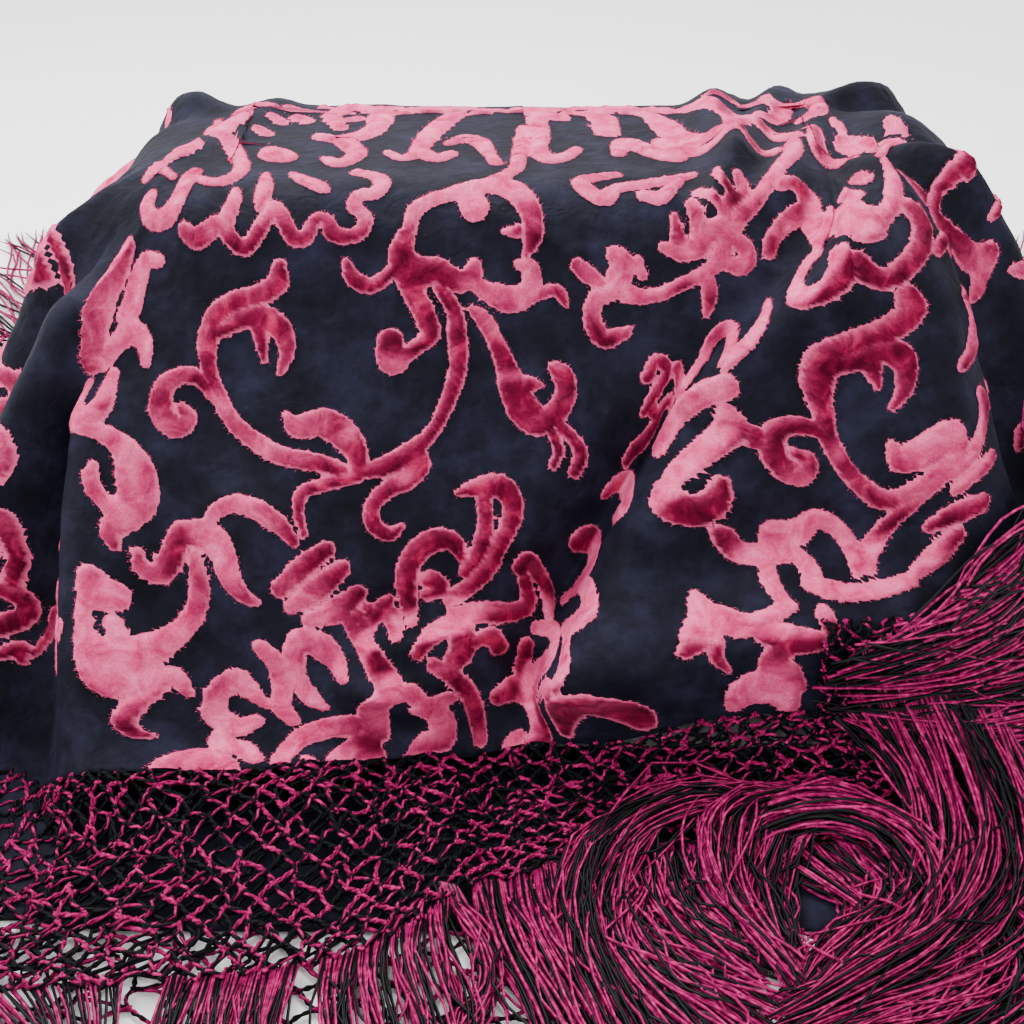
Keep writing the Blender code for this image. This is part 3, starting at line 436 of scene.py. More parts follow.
RIDGE_LEAVES = (
    ((134, 206, 8), (146, 204, 7), (152, 198, 5.5), (160, 199, 5), (168, 205, 5), (173, 214, 5),
     (173, 225, 3.5)),
    ((138, 214, 7), (126, 216, 6), (116, 215, 6), (112, 206, 5)),
    ((128, 218, 4), (127, 228, 4.5), (131, 238, 4), (136, 243, 3)),
    ((142, 216, 5), (148, 222, 5), (152, 228, 3)),
    ((146, 231, 4), (156, 234, 5), (168, 236, 4.5), (184, 235, 4.5), (200, 232, 4)),
    ((96, 236, 1.5), (97, 244, 5), (104, 250, 7), (114, 252, 6), (124, 248, 4.5), (132, 244, 4)),
    ((97, 248, 6), (92, 258, 6), (86, 266, 3)),
    ((99, 260, 3.5), (98, 268, 3.5), (103, 275, 2)),
    ((120, 256, 5), (130, 258, 7), (140, 260, 7), (149, 260, 5)),
    ((130, 264, 7), (124, 272, 6), (134, 276, 6), (140, 284, 4.5)),
    ((152, 246, 4.5), (155, 256, 4), (150, 262, 3)),
    ((108, 296, 5), (112, 288, 9), (122, 285, 10), (132, 288, 9), (136, 296, 6)),
)
LOWER_MIDDLE = (
    ((-36, 184, 2), (-26, 181, 5), (-14, 180, 6.5), (-7, 188, 6), (-8, 200, 5.5), (-14, 212, 5),
     (-20, 224, 5), (-30, 234, 5), (-40, 240, 4.5)),
    ((-22, 186, 4.5), (-21, 200, 4.5), (-24, 214, 5), (-32, 226, 4)),
    ((-34, 218, 3), (-38, 210, 5), (-48, 209, 6.5), (-58, 216, 6.5), (-63, 228, 6), (-62, 242, 5),
     (-60, 252, 3)),
    ((-50, 230, 5.5), (-46, 234, 5.5), (-52, 238, 4)),
    ((-72, 240, 3), (-76, 246, 5.5), (-70, 250, 5), (-68, 258, 4)),
    ((-82, 258, 2.5), (-80, 248, 4), (-84, 244, 3)),
    ((-94, 248, 3.5), (-86, 260, 5), (-78, 272, 6), (-70, 284, 7)),
    ((-2, 224, 5), (2, 220, 5), (8, 228, 4.5), (14, 238, 4.5), (16, 250, 4)),
    ((0, 230, 4), (2, 244, 5), (-8, 248, 5.5), (-24, 247, 5.5), (-38, 248, 4)),
    ((-56, 268, 4), (-50, 260, 5), (-40, 254, 6), (-33, 258, 6.5), (-34, 268, 7), (-40, 276, 5)),
    ((-48, 274, 4), (-38, 280, 5), (-30, 290, 5), (-26, 302, 5), (-24, 314, 4)),
    ((-26, 262, 4), (-18, 260, 5), (-14, 266, 5)),
    ((8, 256, 4), (22, 258, 5), (26, 266, 6), (18, 276, 6), (8, 282, 5)),
    ((2, 266, 5), (2, 280, 7), (10, 286, 8)),
    ((-40, 292, 4), (-52, 296, 5), (-60, 288, 5), (-72, 292, 6), (-78, 300, 8), (-78, 316, 8)),
    ((-56, 300, 4), (-46, 302, 7), (-44, 314, 7), (-52, 322, 7), (-58, 330, 5)),
    ((-14, 292, 5), (-4, 288, 7), (6, 292, 7), (12, 304, 7), (10, 318, 8), (0, 326, 7), (-6, 318, 6),
     (-2, 312, 3)),
    ((30, 312, 5), (36, 302, 9), (48, 296, 9), (60, 300, 9), (66, 308, 6)),
    ((40, 260, 4), (42, 272, 4), (38, 284, 3)),
    ((22, 292, 3), (30, 284, 4.5), (34, 290, 3)),
    ((64, 176, 3), (62, 184, 3)),
)
LOWER_LEFT = (
    ((-138, 264, 4), (-130, 272, 5), (-127, 284, 5), (-126, 298, 5.5), (-120, 308, 4)),
    ((-122, 262, 3), (-116, 260, 6), (-106, 264, 7), (-98, 272, 5), (-94, 280, 3)),
    ((-120, 266, 6), (-118, 280, 5), (-110, 292, 5), (-104, 298, 3)),
    ((-158, 286, 6), (-150, 282, 6.5), (-142, 288, 5), (-134, 296, 3)),
    ((-160, 290, 6), (-160, 302, 6.5), (-150, 312, 7), (-140, 308, 5)),
    ((-154, 312, 6), (-156, 324, 6), (-146, 328, 6), (-138, 338, 4.5)),
    ((-178, 352, 6), (-174, 342, 8), (-164, 338, 10), (-155, 344, 9), (-152, 354, 6)),
    ((-126, 352, 4), (-124, 336, 6), (-116, 322, 7), (-102, 314, 8), (-90, 312, 8)),
    ((-96, 338, 6), (-88, 330, 8), (-82, 322, 7), (-78, 332, 6)),
    ((-112, 340, 3), (-108, 344, 3)),
)
LEFT_EDGE = (
    ((-266, 196, 6), (-260, 204, 6), (-254, 214, 5), (-246, 224, 4)),
    ((-252, 232, 6), (-258, 240, 7), (-266, 244, 7), (-272, 254, 5)),
    ((-248, 246, 6), (-256, 256, 8), (-258, 270, 8), (-252, 284, 5)),
    ((-246, 262, 4), (-240, 268, 4), (-234, 262, 3)),
)
TOP_ROW = (
    ((-120, -128, 4), (-104, -134, 6), (-90, -122, 7), (-87, -100, 7), (-94, -78, 7), (-108, -68, 6),
     (-122, -74, 4)),
    ((-104, -62, 7), (-96, -40, 6), (-104, -22, 5), (-112, -30, 4)),
    ((-100, -110, 3), (-116, -104, 3)),
    ((-78, -42, 3), (-70, -32, 3.5), (-62, -40, 5), (-58, -66, 6.5), (-50, -98, 7), (-42, -118, 6)),
    ((-60, -44, 6), (-50, -32, 5.5), (-42, -40, 4)),
    ((-44, -60, 3), (-34, -70, 5.5), (-25, -60, 6), (-20, -40, 4), (-16, -24, 4)),
    ((8, -112, 6), (10, -80, 6), (8, -50, 6), (14, -30, 6), (24, -36, 5), (30, -48, 3.5)),
    ((10, -118, 5), (24, -112, 5)),
    ((38, -130, 5), (48, -110, 8), (50, -82, 7), (44, -96, 4)),
    ((54, -40, 4), (58, -60, 7), (66, -54, 7), (78, -36, 6), (88, -30, 4)),
    ((66, -132, 4), (76, -120, 5), (84, -96, 8), (90, -70, 8), (100, -52, 7), (112, -50, 5)),
    ((80, -62, 6), (90, -44, 6), (104, -34, 5), (122, -40, 5)),
    ((104, -118, 7), (116, -104, 9), (126, -84, 9), (122, -62, 6)),
    ((128, -30, 5), (136, -22, 5), (142, -30, 4)),
    ((132, -90, 4), (142, -76, 5), (150, -60, 5), (156, -46, 4)),
    ((168, -58, 4), (166, -36, 5), (168, -18, 5.5), (176, -8, 5)),
    ((-152, -108, 4), (-146, -100, 4)),
    ((-138, -112, 4.5), (-132, -106, 4.5)),
    ((-158, -84, 4), (-152, -78, 4)),
    ((-176, -128, 6), (-170, -104, 6), (-176, -84, 6), (-178, -64, 6)),
    ((-124, -132, 5), (-116, -110, 5), (-110, -92, 5)),
    ((-192, -100, 4), (-186, -84, 6), (-192, -66, 5)),
    ((-190, -44, 5), (-196, -30, 6), (-206, -20, 5), (-214, -8, 4)),
    ((-200, 6, 4), (-212, 2, 5), (-224, 8, 5), (-228, 20, 4)),
    ((150, -130, 5), (158, -116, 7), (152, -98, 6), (142, -96, 4)),
    ((170, -128, 5), (180, -112, 7), (176, -92, 6), (166, -84, 5)),
    ((184, -78, 4), (190, -62, 6), (184, -46, 6), (190, -30, 5)),
    ((196, -44, 4), (204, -30, 6), (212, -18, 6), (208, -4, 5), (196, 0, 4)),
    ((222, -8, 5), (232, 4, 7), (242, 12, 7), (248, 26, 6), (242, 38, 4)),
    ((240, -10, 4), (252, -2, 6), (262, 10, 6)),
    ((252, 24, 5), (262, 34, 7), (266, 50, 6), (258, 60, 4)),
    ((236, 60, 5), (246, 72, 6), (258, 80, 6), (262, 94, 5)),
    ((232, 92, 5), (240, 104, 7), (236, 120, 6), (226, 128, 4)),
    ((250, 112, 5), (258, 126, 6), (256, 142, 5)),
)
FRONT_PATTERN = (
    LEFT_SCROLL + LEFT_LEAVES + BUD + BRANCH + SIDE_LEAF + FLOWER + CROWN + MIDDLE_LEAF + UPPER_STEMS
    + RIGHT_STEM + LONG_FOLD_LEAVES + RIGHT_SCROLL + RIDGE_LEAVES + LOWER_MIDDLE + LOWER_LEFT + LEFT_EDGE
    + TOP_ROW
)
# The same pattern again on the sides and the back, as the cloth's repeat brings it there.
REPEAT_PATTERN = (
    LEFT_SCROLL + LEFT_LEAVES + BUD + BRANCH + FLOWER[:5] + CROWN + MIDDLE_LEAF + UPPER_STEMS[:6]
    + LONG_FOLD_LEAVES[:7] + LOWER_MIDDLE + LOWER_LEFT
)
REPEATS_HALF_ROUND = 3  # pattern repeats from the front's middle to the back's middle
REPEAT_DEPTH = 0.2  # how far down the repeats have their true spacing
REPEAT_SHIFT = 18  # millimetres that the repeats are shifted round
REPEAT_CLEAR = 268  # millimetres round from the front's middle within which no repeat is drawn
REPEAT_TOP = 14  # millimetres down within which no repeat is drawn

# Patches of painted sheen, where the pile is painted pale as if it caught the light.
PAINTED_SHEEN_PATCHES = (
    # around, past, radius, strength
    (-0.225, 0.090, 0.060, 0.75),
    (-0.215, 0.180, 0.050, 0.55),
    (-0.150, 0.212, 0.030, 0.75),
    (-0.195, 0.265, 0.050, 0.85),
    (-0.120, 0.262, 0.040, 0.55),
    (-0.130, 0.310, 0.050, 0.80),
    (-0.060, 0.300, 0.030, 0.60),
    (-0.030, 0.030, 0.040, 0.90),
    (-0.010, 0.076, 0.030, 0.60),
    (-0.070, 0.120, 0.016, 0.40),
    (0.055, 0.070, 0.035, 0.60),
    (0.105, 0.055, 0.030, 0.50),
    (0.120, 0.125, 0.030, 0.55),
    (0.020, 0.255, 0.020, 0.70),
    (0.215, 0.165, 0.040, 0.60),
    (0.150, 0.205, 0.040, 0.70),
    (0.120, 0.290, 0.030, 0.70),
    (0.300, 0.120, 0.060, 0.50),
    (-0.330, 0.200, 0.070, 0.50),
)

# Colours: stops of place and colour over a noise, and single colours.
CREPE_DYE = (
    (0.30, (0.0014, 0.0014, 0.0036)),
    (0.48, (0.0040, 0.0040, 0.0092)),
    (0.72, (0.0115, 0.0118, 0.0270)),
)
PILE_CRIMSON = ((0.36, (0.050, 0.0004, 0.009)), (0.54, (0.14, 0.0020, 0.025)), (0.72, (0.38, 0.014, 0.072)))
# The pink stops below are a paler copy of the crimson: the painted sheen of pile painted as lit.
PILE_SHEEN_PINK = ((0.30, (0.37, 0.013, 0.082)), (0.48, (0.66, 0.060, 0.190)), (0.74, (0.88, 0.170, 0.350)))
# The rim colour below is a painted highlight along the strokes' edges.
PILE_RIM_HIGHLIGHT = (0.74, 0.115, 0.265)
BOARD_GREY = ((0.3, (0.50, 0.48, 0.45)), (0.7, (0.60, 0.58, 0.55)))
FLOOR_WHITE = ((0.3, (0.95, 0.95, 0.95)), (0.7, (0.97, 0.97, 0.97)))
# Yarns: magenta, black, roughness, gloss.
NET_YARN = ((0.26, 0.0032, 0.074), (0.0015, 0.0017, 0.0027), 0.6, 0.08)
FLOSS_YARN = ((0.27, 0.0023, 0.078), (0.0013, 0.0014, 0.0023), 0.45, 0.14)

# Cloth and velvet.
CREPE_WALL = 0.0007
CREPE_SUNK = 0.0002  # how far the crepe lies within its solid's face
CREPE_COLUMNS = (38, 46, 9, 20)  # along the front, each front corner, each end and each back corner
CREPE_ROWS = 86
PILE = 0.0019
PILE_ROUND = 0.8  # millimetres in from a stroke's edge over which the pile rises
RAGGED = 0.30  # millimetres that a stroke's edge wanders
TUFT_HEIGHT = 0.00022
HAIR_WIDTH = 0.00017
EDGE_BAND = 1.4  # millimetres in from a stroke's edge where loose pile stands out
HEM_BARE = 0.0005
VELVET_FRONT = 0.345  # half the length round of the finely made front
VELVET_STEP = 0.00155
VELVET_FRONT_ROWS = 290
VELVET_REST_COLUMNS, VELVET_REST_ROWS = 210, 165
FRONT_TUFTS, REST_TUFTS = 0.3, 0.05  # share of the face that has loose pile
# Painted sheen: faces that look towards the light above and to the left are painted pale pink, as the pile
# would shine there.
SHEEN_LIGHT_WAY = np.array([-0.46, 0.10, 0.88])  # the way a face looks where its pile is palest
SHEEN_FROM, SHEEN_TO = 0.40, 0.86
# Painted highlight: the side of each stroke towards the light is painted pale.
LIT_SIDE_ROUND, LIT_SIDE_DOWN = -0.5, -0.86  # the side of a stroke that catches the light
LIT_SHARE, LIT_DEPTH = 0.75, 2.2
SHEEN_STEP = 0.004  # how far round and down the cloth's slope is read
LOOSE = 1.1  # length of draped cloth for each length of the plain corner under it
HOLLOW_FROM, HOLLOW_FULL = 0.055, 0.17  # depth over which hollows begin
RUFFLE_FROM, RUFFLE_FULL = 0.31, 0.40  # depth over which ruffles begin

# Nets.
YARN_RADIUS, YARN_APART = 0.00088, 0.00074  # one ply of the net's yarn, and how far from its middle
YARN_BOW, YARN_HOP = 0.0012, 0.0010  # how far a yarn bends aside and up between its knots
YARN_TWIST = 2.4 * math.pi
KNOT_WIDTH, KNOT_HEIGHT = 0.0011, 0.0008
CROSS_STEPS, KNOT_STEPS = 3, 4  # points along a yarn of the darker layer, and round a knot
UPPER_LIFT, LOWER_LIFT = 0.0008, -0.0012
UPPER_BLACK, LOWER_BLACK = 0.26, 0.86  # share of each layer's yarns that is black
LEFT_OVERHANG = 0.022
OVERHANG_FROM = (-0.26, -0.22)
OVERHANG_TO = (-0.06, -0.02)
NET_SIZES = {
    # piece: cell's width and depth, points along a yarn, seed
    "netting_left": (0.0215, 0.0190, 4, 11),
    "netting_front": (0.0128, 0.0116, 5, 12),
    "netting_right": (0.0215, 0.0190, 4, 13),
    "netting_under": (0.0215, 0.0180, 4, 21),
    "netting_flap": (0.0120, 0.0115, 5, 23),
}
UNDER_NET_HEIGHT = 0.0012
UNDER_CLOTH_HEIGHT = 0.0018
UNDER_COLUMNS, UNDER_ROWS = 121, 28
UNDER_TAPER = 0.045  # how much shorter the lower cloth is at its left end
UNDER_HIDDEN = 0.040  # how far the lower cloth goes on under the upper one
UNDER_LEFT = -0.36  # where the lower cloth ends under the left of the net
UNDER_NET_LEFT = -0.29  # where the lower net ends under it

# Fringe.
FLOSS_RADIUS = 0.00084
END_FLOSS_RADIUS = 0.00120  # strands at the ends, a few twisted together
FLOSS_BLACK, END_BLACK = 0.42, 0.45  # share of the strands that is black
CURVE_PARTS = 8
SWEEP_SPREAD, BEND_SPREAD, HEADING_SPREAD = 0.22, 0.25, 0.10
STRAY_FROM, STRAY_MORE, WAVE_LIMIT = 0.86, 2.4, 1.5  # the strands that stray, and how far
LOCK_WAVE, LOOSE_WAVE = 0.0040, 0.0046
MAP_CELL = 0.004  # cells of the height map that loose strands are laid on
MAP_ROUND, MAP_DOWN = 0.46, 0.52  # how far round and down the map's points reach
MAP_LEFT, MAP_NEAR = -0.60, -0.70
MAP_SHAPE = (300, 200)

# Studio.
WORLD_STRENGTH = 2.05
WHITE = (1.0, 1.0, 1.0)
LIGHTS = (
    # name, place, aim, size, power, colour
    ("sky_panel", (-0.35, 0.75, 1.5), (0, 0, 0.10), 1.0, 42, (1.0, 0.99, 1.0)),
    ("left_panel", (-1.5, -0.2, 1.0), (0, -0.1, 0.10), 0.7, 16, (0.96, 0.98, 1.0)),
    ("front_panel", (0.5, -1.6, 1.5), (0, -0.2, 0.1), 1.0, 5, WHITE),
)
CAMERA_AIM = (-0.007, -0.126, 0.0912)
CAMERA_TILT = math.radians(30)
CAMERA_FAR = 0.92
CAMERA_LENS = 56.3
SENSOR_WIDTH = 36


def smooth_step(x, low, high):
    """0 up to low, 1 from high on, and a smooth rise between."""
    t = np.clip((np.asarray(x, float) - low) / (high - low), 0, 1)
    return t * t * (3 - 2 * t)


def core_of(around):
    """Point of the flat top's core, and the outward direction there, for a length round the block."""
    around = np.asarray(around, float)
    side = np.where(around < 0, -1.0, 1.0)
    m = np.abs(around)
    turn = np.clip((m - FRONT_END) / CORNER_TURN, 0, math.pi / 2)
    turn = turn + np.clip((m - SIDE_END) / CORNER_TURN, 0, math.pi / 2)
    x = np.clip(m, 0, CORE_X) - np.clip(m - BACK_START, 0, CORE_X)
    y = -CORE_Y + np.clip(m - SIDE_START, 0, 2 * CORE_Y)
    return side * x, y, side * np.sin(turn), -np.cos(turn)


def slope_of(nx, ny):
    """How steeply the cloth falls, for the way its side faces."""
    front = np.clip(-ny, 0, 1) ** 2
    back = np.clip(ny, 0, 1) ** 2
    slope = FRONT_SLOPE * front + BACK_SLOPE * back + END_SLOPE * (1 - front - back)
    return slope - CORNER_EASE * np.abs(2 * nx * ny)


def fall(past, slope, low):
    """Distance out, height and tilt of cloth that bends over the edge, falls and runs out on the table."""
    past = np.maximum(past, 0)
    bends = (EDGE_RADIUS + FOOT_RADIUS) * (1 - np.cos(slope))
    straight = (TOP_Z - low - bends) / np.sin(slope)
    edge = np.clip(past / EDGE_RADIUS, 0, slope)
    down = np.clip(past - EDGE_RADIUS * slope, 0, straight)
    foot = slope - np.clip((past - EDGE_RADIUS * slope - straight) / FOOT_RADIUS, 0, slope)
    table = np.maximum(past - (EDGE_RADIUS + FOOT_RADIUS) * slope - straight, 0)
    out = EDGE_RADIUS * np.sin(edge) + down * np.cos(slope)
    out = out + FOOT_RADIUS * (np.sin(slope) - np.sin(foot)) + table
    drop = EDGE_RADIUS * (1 - np.cos(edge)) + down * np.sin(slope)
    drop = drop + FOOT_RADIUS * (np.cos(foot) - np.cos(slope))
    tilt = np.where(foot < slope, foot, edge)
    return out, TOP_Z - drop, tilt


def distance_to_line(x, y, points):
    """Distance from a line through a few points."""
    best = None
    for (ax, ay), (bx, by) in zip(points, points[1:]):
        along_x, along_y = bx - ax, by - ay
        share = ((x - ax) * along_x + (y - ay) * along_y) / (along_x**2 + along_y**2)
        share = np.clip(share, 0, 1)
        far = np.hypot(x - ax - share * along_x, y - ay - share * along_y)
        best = far if best is None else np.minimum(best, far)
    return best


def folds_at(around, past):
    """Height of the large folds, and how far they lean along the cloth."""
    height = np.zeros(np.broadcast(around, past).shape)
    lean = np.zeros_like(height)
    room = smooth_step(past, HOLLOW_FROM, HOLLOW_FULL)
    for _, around_a, past_a, around_b, past_b, around_c, past_c, width, tall, leaning in FOLDS:
        points = ((around_a, past_a), (around_b, past_b), (around_c, past_c))
        bump = tall * np.exp(-((distance_to_line(around, past, points) / width) ** 2))
        if tall < 0:
            bump = bump * room
        height += bump
        lean += leaning * bump
    return height, lean


def gathers_at(x, y, past):
    """Height of the gathers that run over the block's top, for places in plan."""
    height = np.zeros(np.broadcast(x, y).shape)
    for _, xa, ya, xb, yb, xc, yc, width, tall in GATHERS:
        far = distance_to_line(x, y, ((xa, ya), (xb, yb), (xc, yc)))
        height += tall * np.exp(-((far / width) ** 2))
    return height * (1 - smooth_step(past, 0.5 * GATHER_END, GATHER_END))


def creases_at(around, past):
    """Height of the listed fine creases, and of the soft unevenness between them."""
    height = np.zeros(np.broadcast(around, past).shape)
    for *line, width, tall in np.array(CREASES) / 1000:
        points = np.reshape(line, (3, 2))
        height += tall * np.exp(-((distance_to_line(around, past, points) / width) ** 2))
    soft = np.sin(61 * around + 2.0 * np.sin(47 * past)) * np.sin(83 * past + 1.3 * np.sin(39 * around))
    fine = np.sin(190 * around + 3.0 * np.sin(70 * past)) * np.sin(150 * past + 2.0 * np.sin(90 * around))
    return (1.5 * height + 0.0009 * soft + 0.0004 * fine) * smooth_step(past, -0.02, 0.03)


def under_share(around, past):
    """1 over the lower half's cloth and net on the table, falling to 0 just outside them."""
    share = smooth_step(around, UNDER_FROM - UNDER_MARGIN, UNDER_FROM - 0.005)
    share = share * (1 - smooth_step(around, UNDER_TO + 0.005, UNDER_TO + UNDER_MARGIN))
    return share * (1 - smooth_step(past, UNDER_END + 0.005, UNDER_END + UNDER_MARGIN))


def ruffles_at(around, past):
    """Height of the small waves that the hem makes on the table."""
    wave = np.zeros(np.broadcast(around, past).shape)
    for count, phase, share in RUFFLES:
        wave += share * (0.5 + 0.5 * np.sin(2 * math.pi * count * around + phase + RUFFLE_SLANT * past))
    return RUFFLE_HEIGHT * wave * smooth_step(past, RUFFLE_FROM, RUFFLE_FULL)


def drape(around, past, lift=0.0):
    """Points of the upper half's outer face, or lift metres above it."""
    around, past = np.broadcast_arrays(np.asarray(around, float), np.asarray(past, float))
    core_x, core_y, nx, ny = core_of(around)
    low = WALL + under_share(around, past) * (WALL + LAYER_GAP)
    out, z, tilt = fall(past, slope_of(nx, ny), low)
    core_y = core_y * np.clip((past + CORNER + CORE_Y) / CORE_Y, 0, 1)
    away = np.clip(CORNER + past, 0, CORNER) + out
    height, lean = folds_at(around, past)
    height = (height + creases_at(around, past)) * smooth_step(past, -0.03, 0.02)
    height = height + gathers_at(core_x + nx * away, core_y + ny * away, past)
    z = z + (height + lift) * np.cos(tilt) + ruffles_at(around, past)
    away = away + (height + lift) * np.sin(tilt)
    return np.stack([core_x + nx * away - ny * lean, core_y + ny * away + nx * lean,
                     np.maximum(z, low + lift)], axis=-1)


def table_layer(around, past, height):
    """Points of the lower half, flat on the table, height metres up."""
    around, past = np.broadcast_arrays(np.asarray(around, float), np.asarray(past, float))
    core_x, core_y, nx, ny = core_of(around)
    out, _, _ = fall(past, slope_of(nx, ny), WALL)
    away = CORNER + out
    return np.stack([core_x + nx * away, core_y + ny * away, height + 0 * past], axis=-1)


def smooth_line(table, around):
    """Value at a length round the block, on a smooth line through the rows of a table."""
    x, y = np.array(table).T
    at = np.clip(np.asarray(around, float), x[0], x[-1])
    i = np.clip(np.searchsorted(x, at) - 1, 0, len(x) - 2)
    span = x[i + 1] - x[i]
    t = (at - x[i]) / span
    rise = np.gradient(y, x)
    value = (2 * t**3 - 3 * t**2 + 1) * y[i] + (3 * t**2 - 2 * t**3) * y[i + 1]
    return value + (t**3 - 2 * t**2 + t) * span * rise[i] + (t**3 - t**2) * span * rise[i + 1]


def hem_past(around):
    """How far down the velvet panel ends."""
    return smooth_line(HEM, around)


def net_end(around):
    """How far down the net ends."""
    return hem_past(around) + SEAM_GAP + smooth_line(NET_DEPTHS, around)


def length_round(around, past):
    """True length of the cloth round the block from the middle of the front, at that depth."""
    m = np.abs(around)
    turn = np.clip((m - FRONT_END) / CORNER_TURN, 0, math.pi / 2)
    turn = turn + np.clip((m - SIDE_END) / CORNER_TURN, 0, math.pi / 2)
    straight = np.clip(m, 0, CORE_X) + np.clip(m - SIDE_START, 0, 2 * CORE_Y)
    straight = straight + np.clip(m - BACK_START, 0, CORE_X)
    _, _, nx, ny = core_of(around)
    out, _, _ = fall(past, slope_of(nx, ny), WALL)
    away = np.clip(CORNER + past, 0.004, CORNER) + out
    return np.sign(around) * (straight + LOOSE * turn * away)


def around_at(length, past):
    """The length round the block that lies this true length from the front's middle."""
    grid = np.linspace(-HALF_ROUND, HALF_ROUND, 2401)
    return np.interp(length, length_round(grid, np.full(grid.shape, past)), grid)


def curve_between(a, b, c, d, t):
    """The place a share t of the way from b to c, on a smooth curve through all four points."""
    return 0.5 * (2 * b + (c - a) * t + (2 * a - 5 * b + 4 * c - d) * t**2 + (3 * b - a - 3 * c + d) * t**3)


def with_ends(points):
    """The points with one more before the first and after the last, straight on."""
    return np.vstack([2 * points[0] - points[1], points, 2 * points[-1] - points[-2]])


def smooth_stroke(stroke, parts=5):
    """Points on a smooth line through a stroke's own points."""
    rows = np.array(stroke, float)
    if len(rows) == 2:
        return rows
    ends = with_ends(rows)
    found = []
    for a, b, c, d in zip(ends, ends[1:], ends[2:], ends[3:]):
        for t in np.arange(parts) / parts:
            found.append(curve_between(a, b, c, d, t))
    found.append(rows[-1])
    return np.array(found)


def stroke_distance(u, v, line, best, margin=6.0):
    """Lowers best to the distance, in millimetres, of each point from a stroke; inside is negative."""
    reach = line[:, 2].max() + margin
    low, high = line[:, :2].min(0) - reach, line[:, :2].max(0) + reach
    near = np.flatnonzero((u > low[0]) & (u < high[0]) & (v > low[1]) & (v < high[1]))
    if not len(near):
        return
    x, y = u[near], v[near]
    far = np.full(len(near), 99.0)
    for (ax, ay, ar), (bx, by, br) in zip(line, line[1:]):
        along_x, along_y = bx - ax, by - ay
        share = ((x - ax) * along_x + (y - ay) * along_y) / (along_x**2 + along_y**2 + 1e-9)
        share = np.clip(share, 0, 1)
        here = np.hypot(x - ax - share * along_x, y - ay - share * along_y) - ar - share * (br - ar)
        far = np.minimum(far, here)
    best[near] = np.minimum(best[near], far)


def on_flat_cloth(around, past):
    """Millimetres round and down on the flat cloth, without a break between the flat top and the fall."""
    core_x, core_y, nx, ny = core_of(around)
    core_y = core_y * np.clip((past + CORNER + CORE_Y) / CORE_Y, 0, 1)
    away = np.clip(CORNER + past, 0, CORNER) + fall(past, slope_of(nx, ny), WALL)[0]
    x, y = core_x + nx * away, core_y + ny * away
    share = smooth_step(past, -0.015, 0.025)
    u = (1 - share) * x + share * length_round(around, past)
    v = (1 - share) * -(y + CORE_Y + CORNER) + share * past
    return 1000 * u, 1000 * v


def velvet_distance(around, past):
    """Distance from the velvet's edge, in millimetres, over the whole cloth; inside is negative."""
    shape = around.shape
    around, past = around.ravel(), past.ravel()
    best = np.full(len(around), 9.0)
    front = np.flatnonzero((np.abs(around) < SIDE_END) | (past < 0))
    found = best[front]
    u, v = on_flat_cloth(around[front], past[front])
    for stroke in FRONT_PATTERN:
        stroke_distance(u, v, smooth_stroke(stroke), found)
    best[front] = found
    back = np.flatnonzero((np.abs(around) > BACK_START - 0.06) & (past >= 0) & (past < 0.05))
    found = best[back]
    x = np.sign(around[back]) * (HALF_ROUND - np.abs(around[back]))
    for stroke in TOP_ROW:
        stroke_distance(1000 * x, 1000 * (2 * TOP_MIDDLE - past[back]), smooth_stroke(stroke), found)
    best[back] = found
    rest = np.flatnonzero((np.abs(around) > FRONT_END) & (past > 0))
    length = length_round(around[rest], past[rest])
    half = float(length_round(np.array(HALF_ROUND), np.array(REPEAT_DEPTH)))
    found = best[rest]
    for k in range(1, REPEATS_HALF_ROUND + 1):
        for side in (-1, 1):
            anchor = around_at(side * half * k / REPEATS_HALF_ROUND, REPEAT_DEPTH)
            u = 1000 * (length - length_round(np.full(len(rest), anchor), past[rest])) + REPEAT_SHIFT
            for stroke in REPEAT_PATTERN:
                line = smooth_stroke(stroke)
                at_anchor = 1000 * length_round(np.full(len(line), anchor), line[:, 1] / 1000)
                inner = np.abs(at_anchor + line[:, 0] - REPEAT_SHIFT) - line[:, 2]
                if inner.min() > REPEAT_CLEAR and (line[:, 1] - line[:, 2]).min() > REPEAT_TOP:
                    stroke_distance(u, 1000 * past[rest], line, found)
    best[rest] = found
    return best.reshape(shape)


def choose(piece):
    """Makes a piece the only selected one, and the active one."""
    bpy.ops.object.select_all(action="DESELECT")
    piece.select_set(True)
    bpy.context.view_layer.objects.active = piece


def merge_seams(piece, reach=0.00005):
    """Joins points that lie in one place, as at the seam round the back."""
    choose(piece)
    bpy.ops.object.mode_set(mode="EDIT")
    bpy.ops.mesh.select_all(action="SELECT")
    bpy.ops.mesh.remove_doubles(threshold=reach)
    bpy.ops.object.mode_set(mode="OBJECT")


def spread_grid(name, places):
    """A grid of points, given as columns of rows, on a Blender grid."""
    columns, rows = places.shape[:2]
    bpy.ops.object.select_all(action="DESELECT")
    bpy.ops.mesh.primitive_grid_add(x_subdivisions=columns - 1, y_subdivisions=rows - 1, size=2)
    piece = bpy.context.object
    piece.name = name
    piece.data.name = name
    flat = np.empty(3 * len(piece.data.vertices), dtype=np.float32)
    piece.data.vertices.foreach_get("co", flat)
    flat = flat.reshape(-1, 3)
    i = np.rint((flat[:, 0] + 1) / 2 * (columns - 1)).astype(int)
    j = np.rint((flat[:, 1] + 1) / 2 * (rows - 1)).astype(int)
    piece.data.vertices.foreach_set("co", places[i, j].astype(np.float32).ravel())
    return piece, i, j


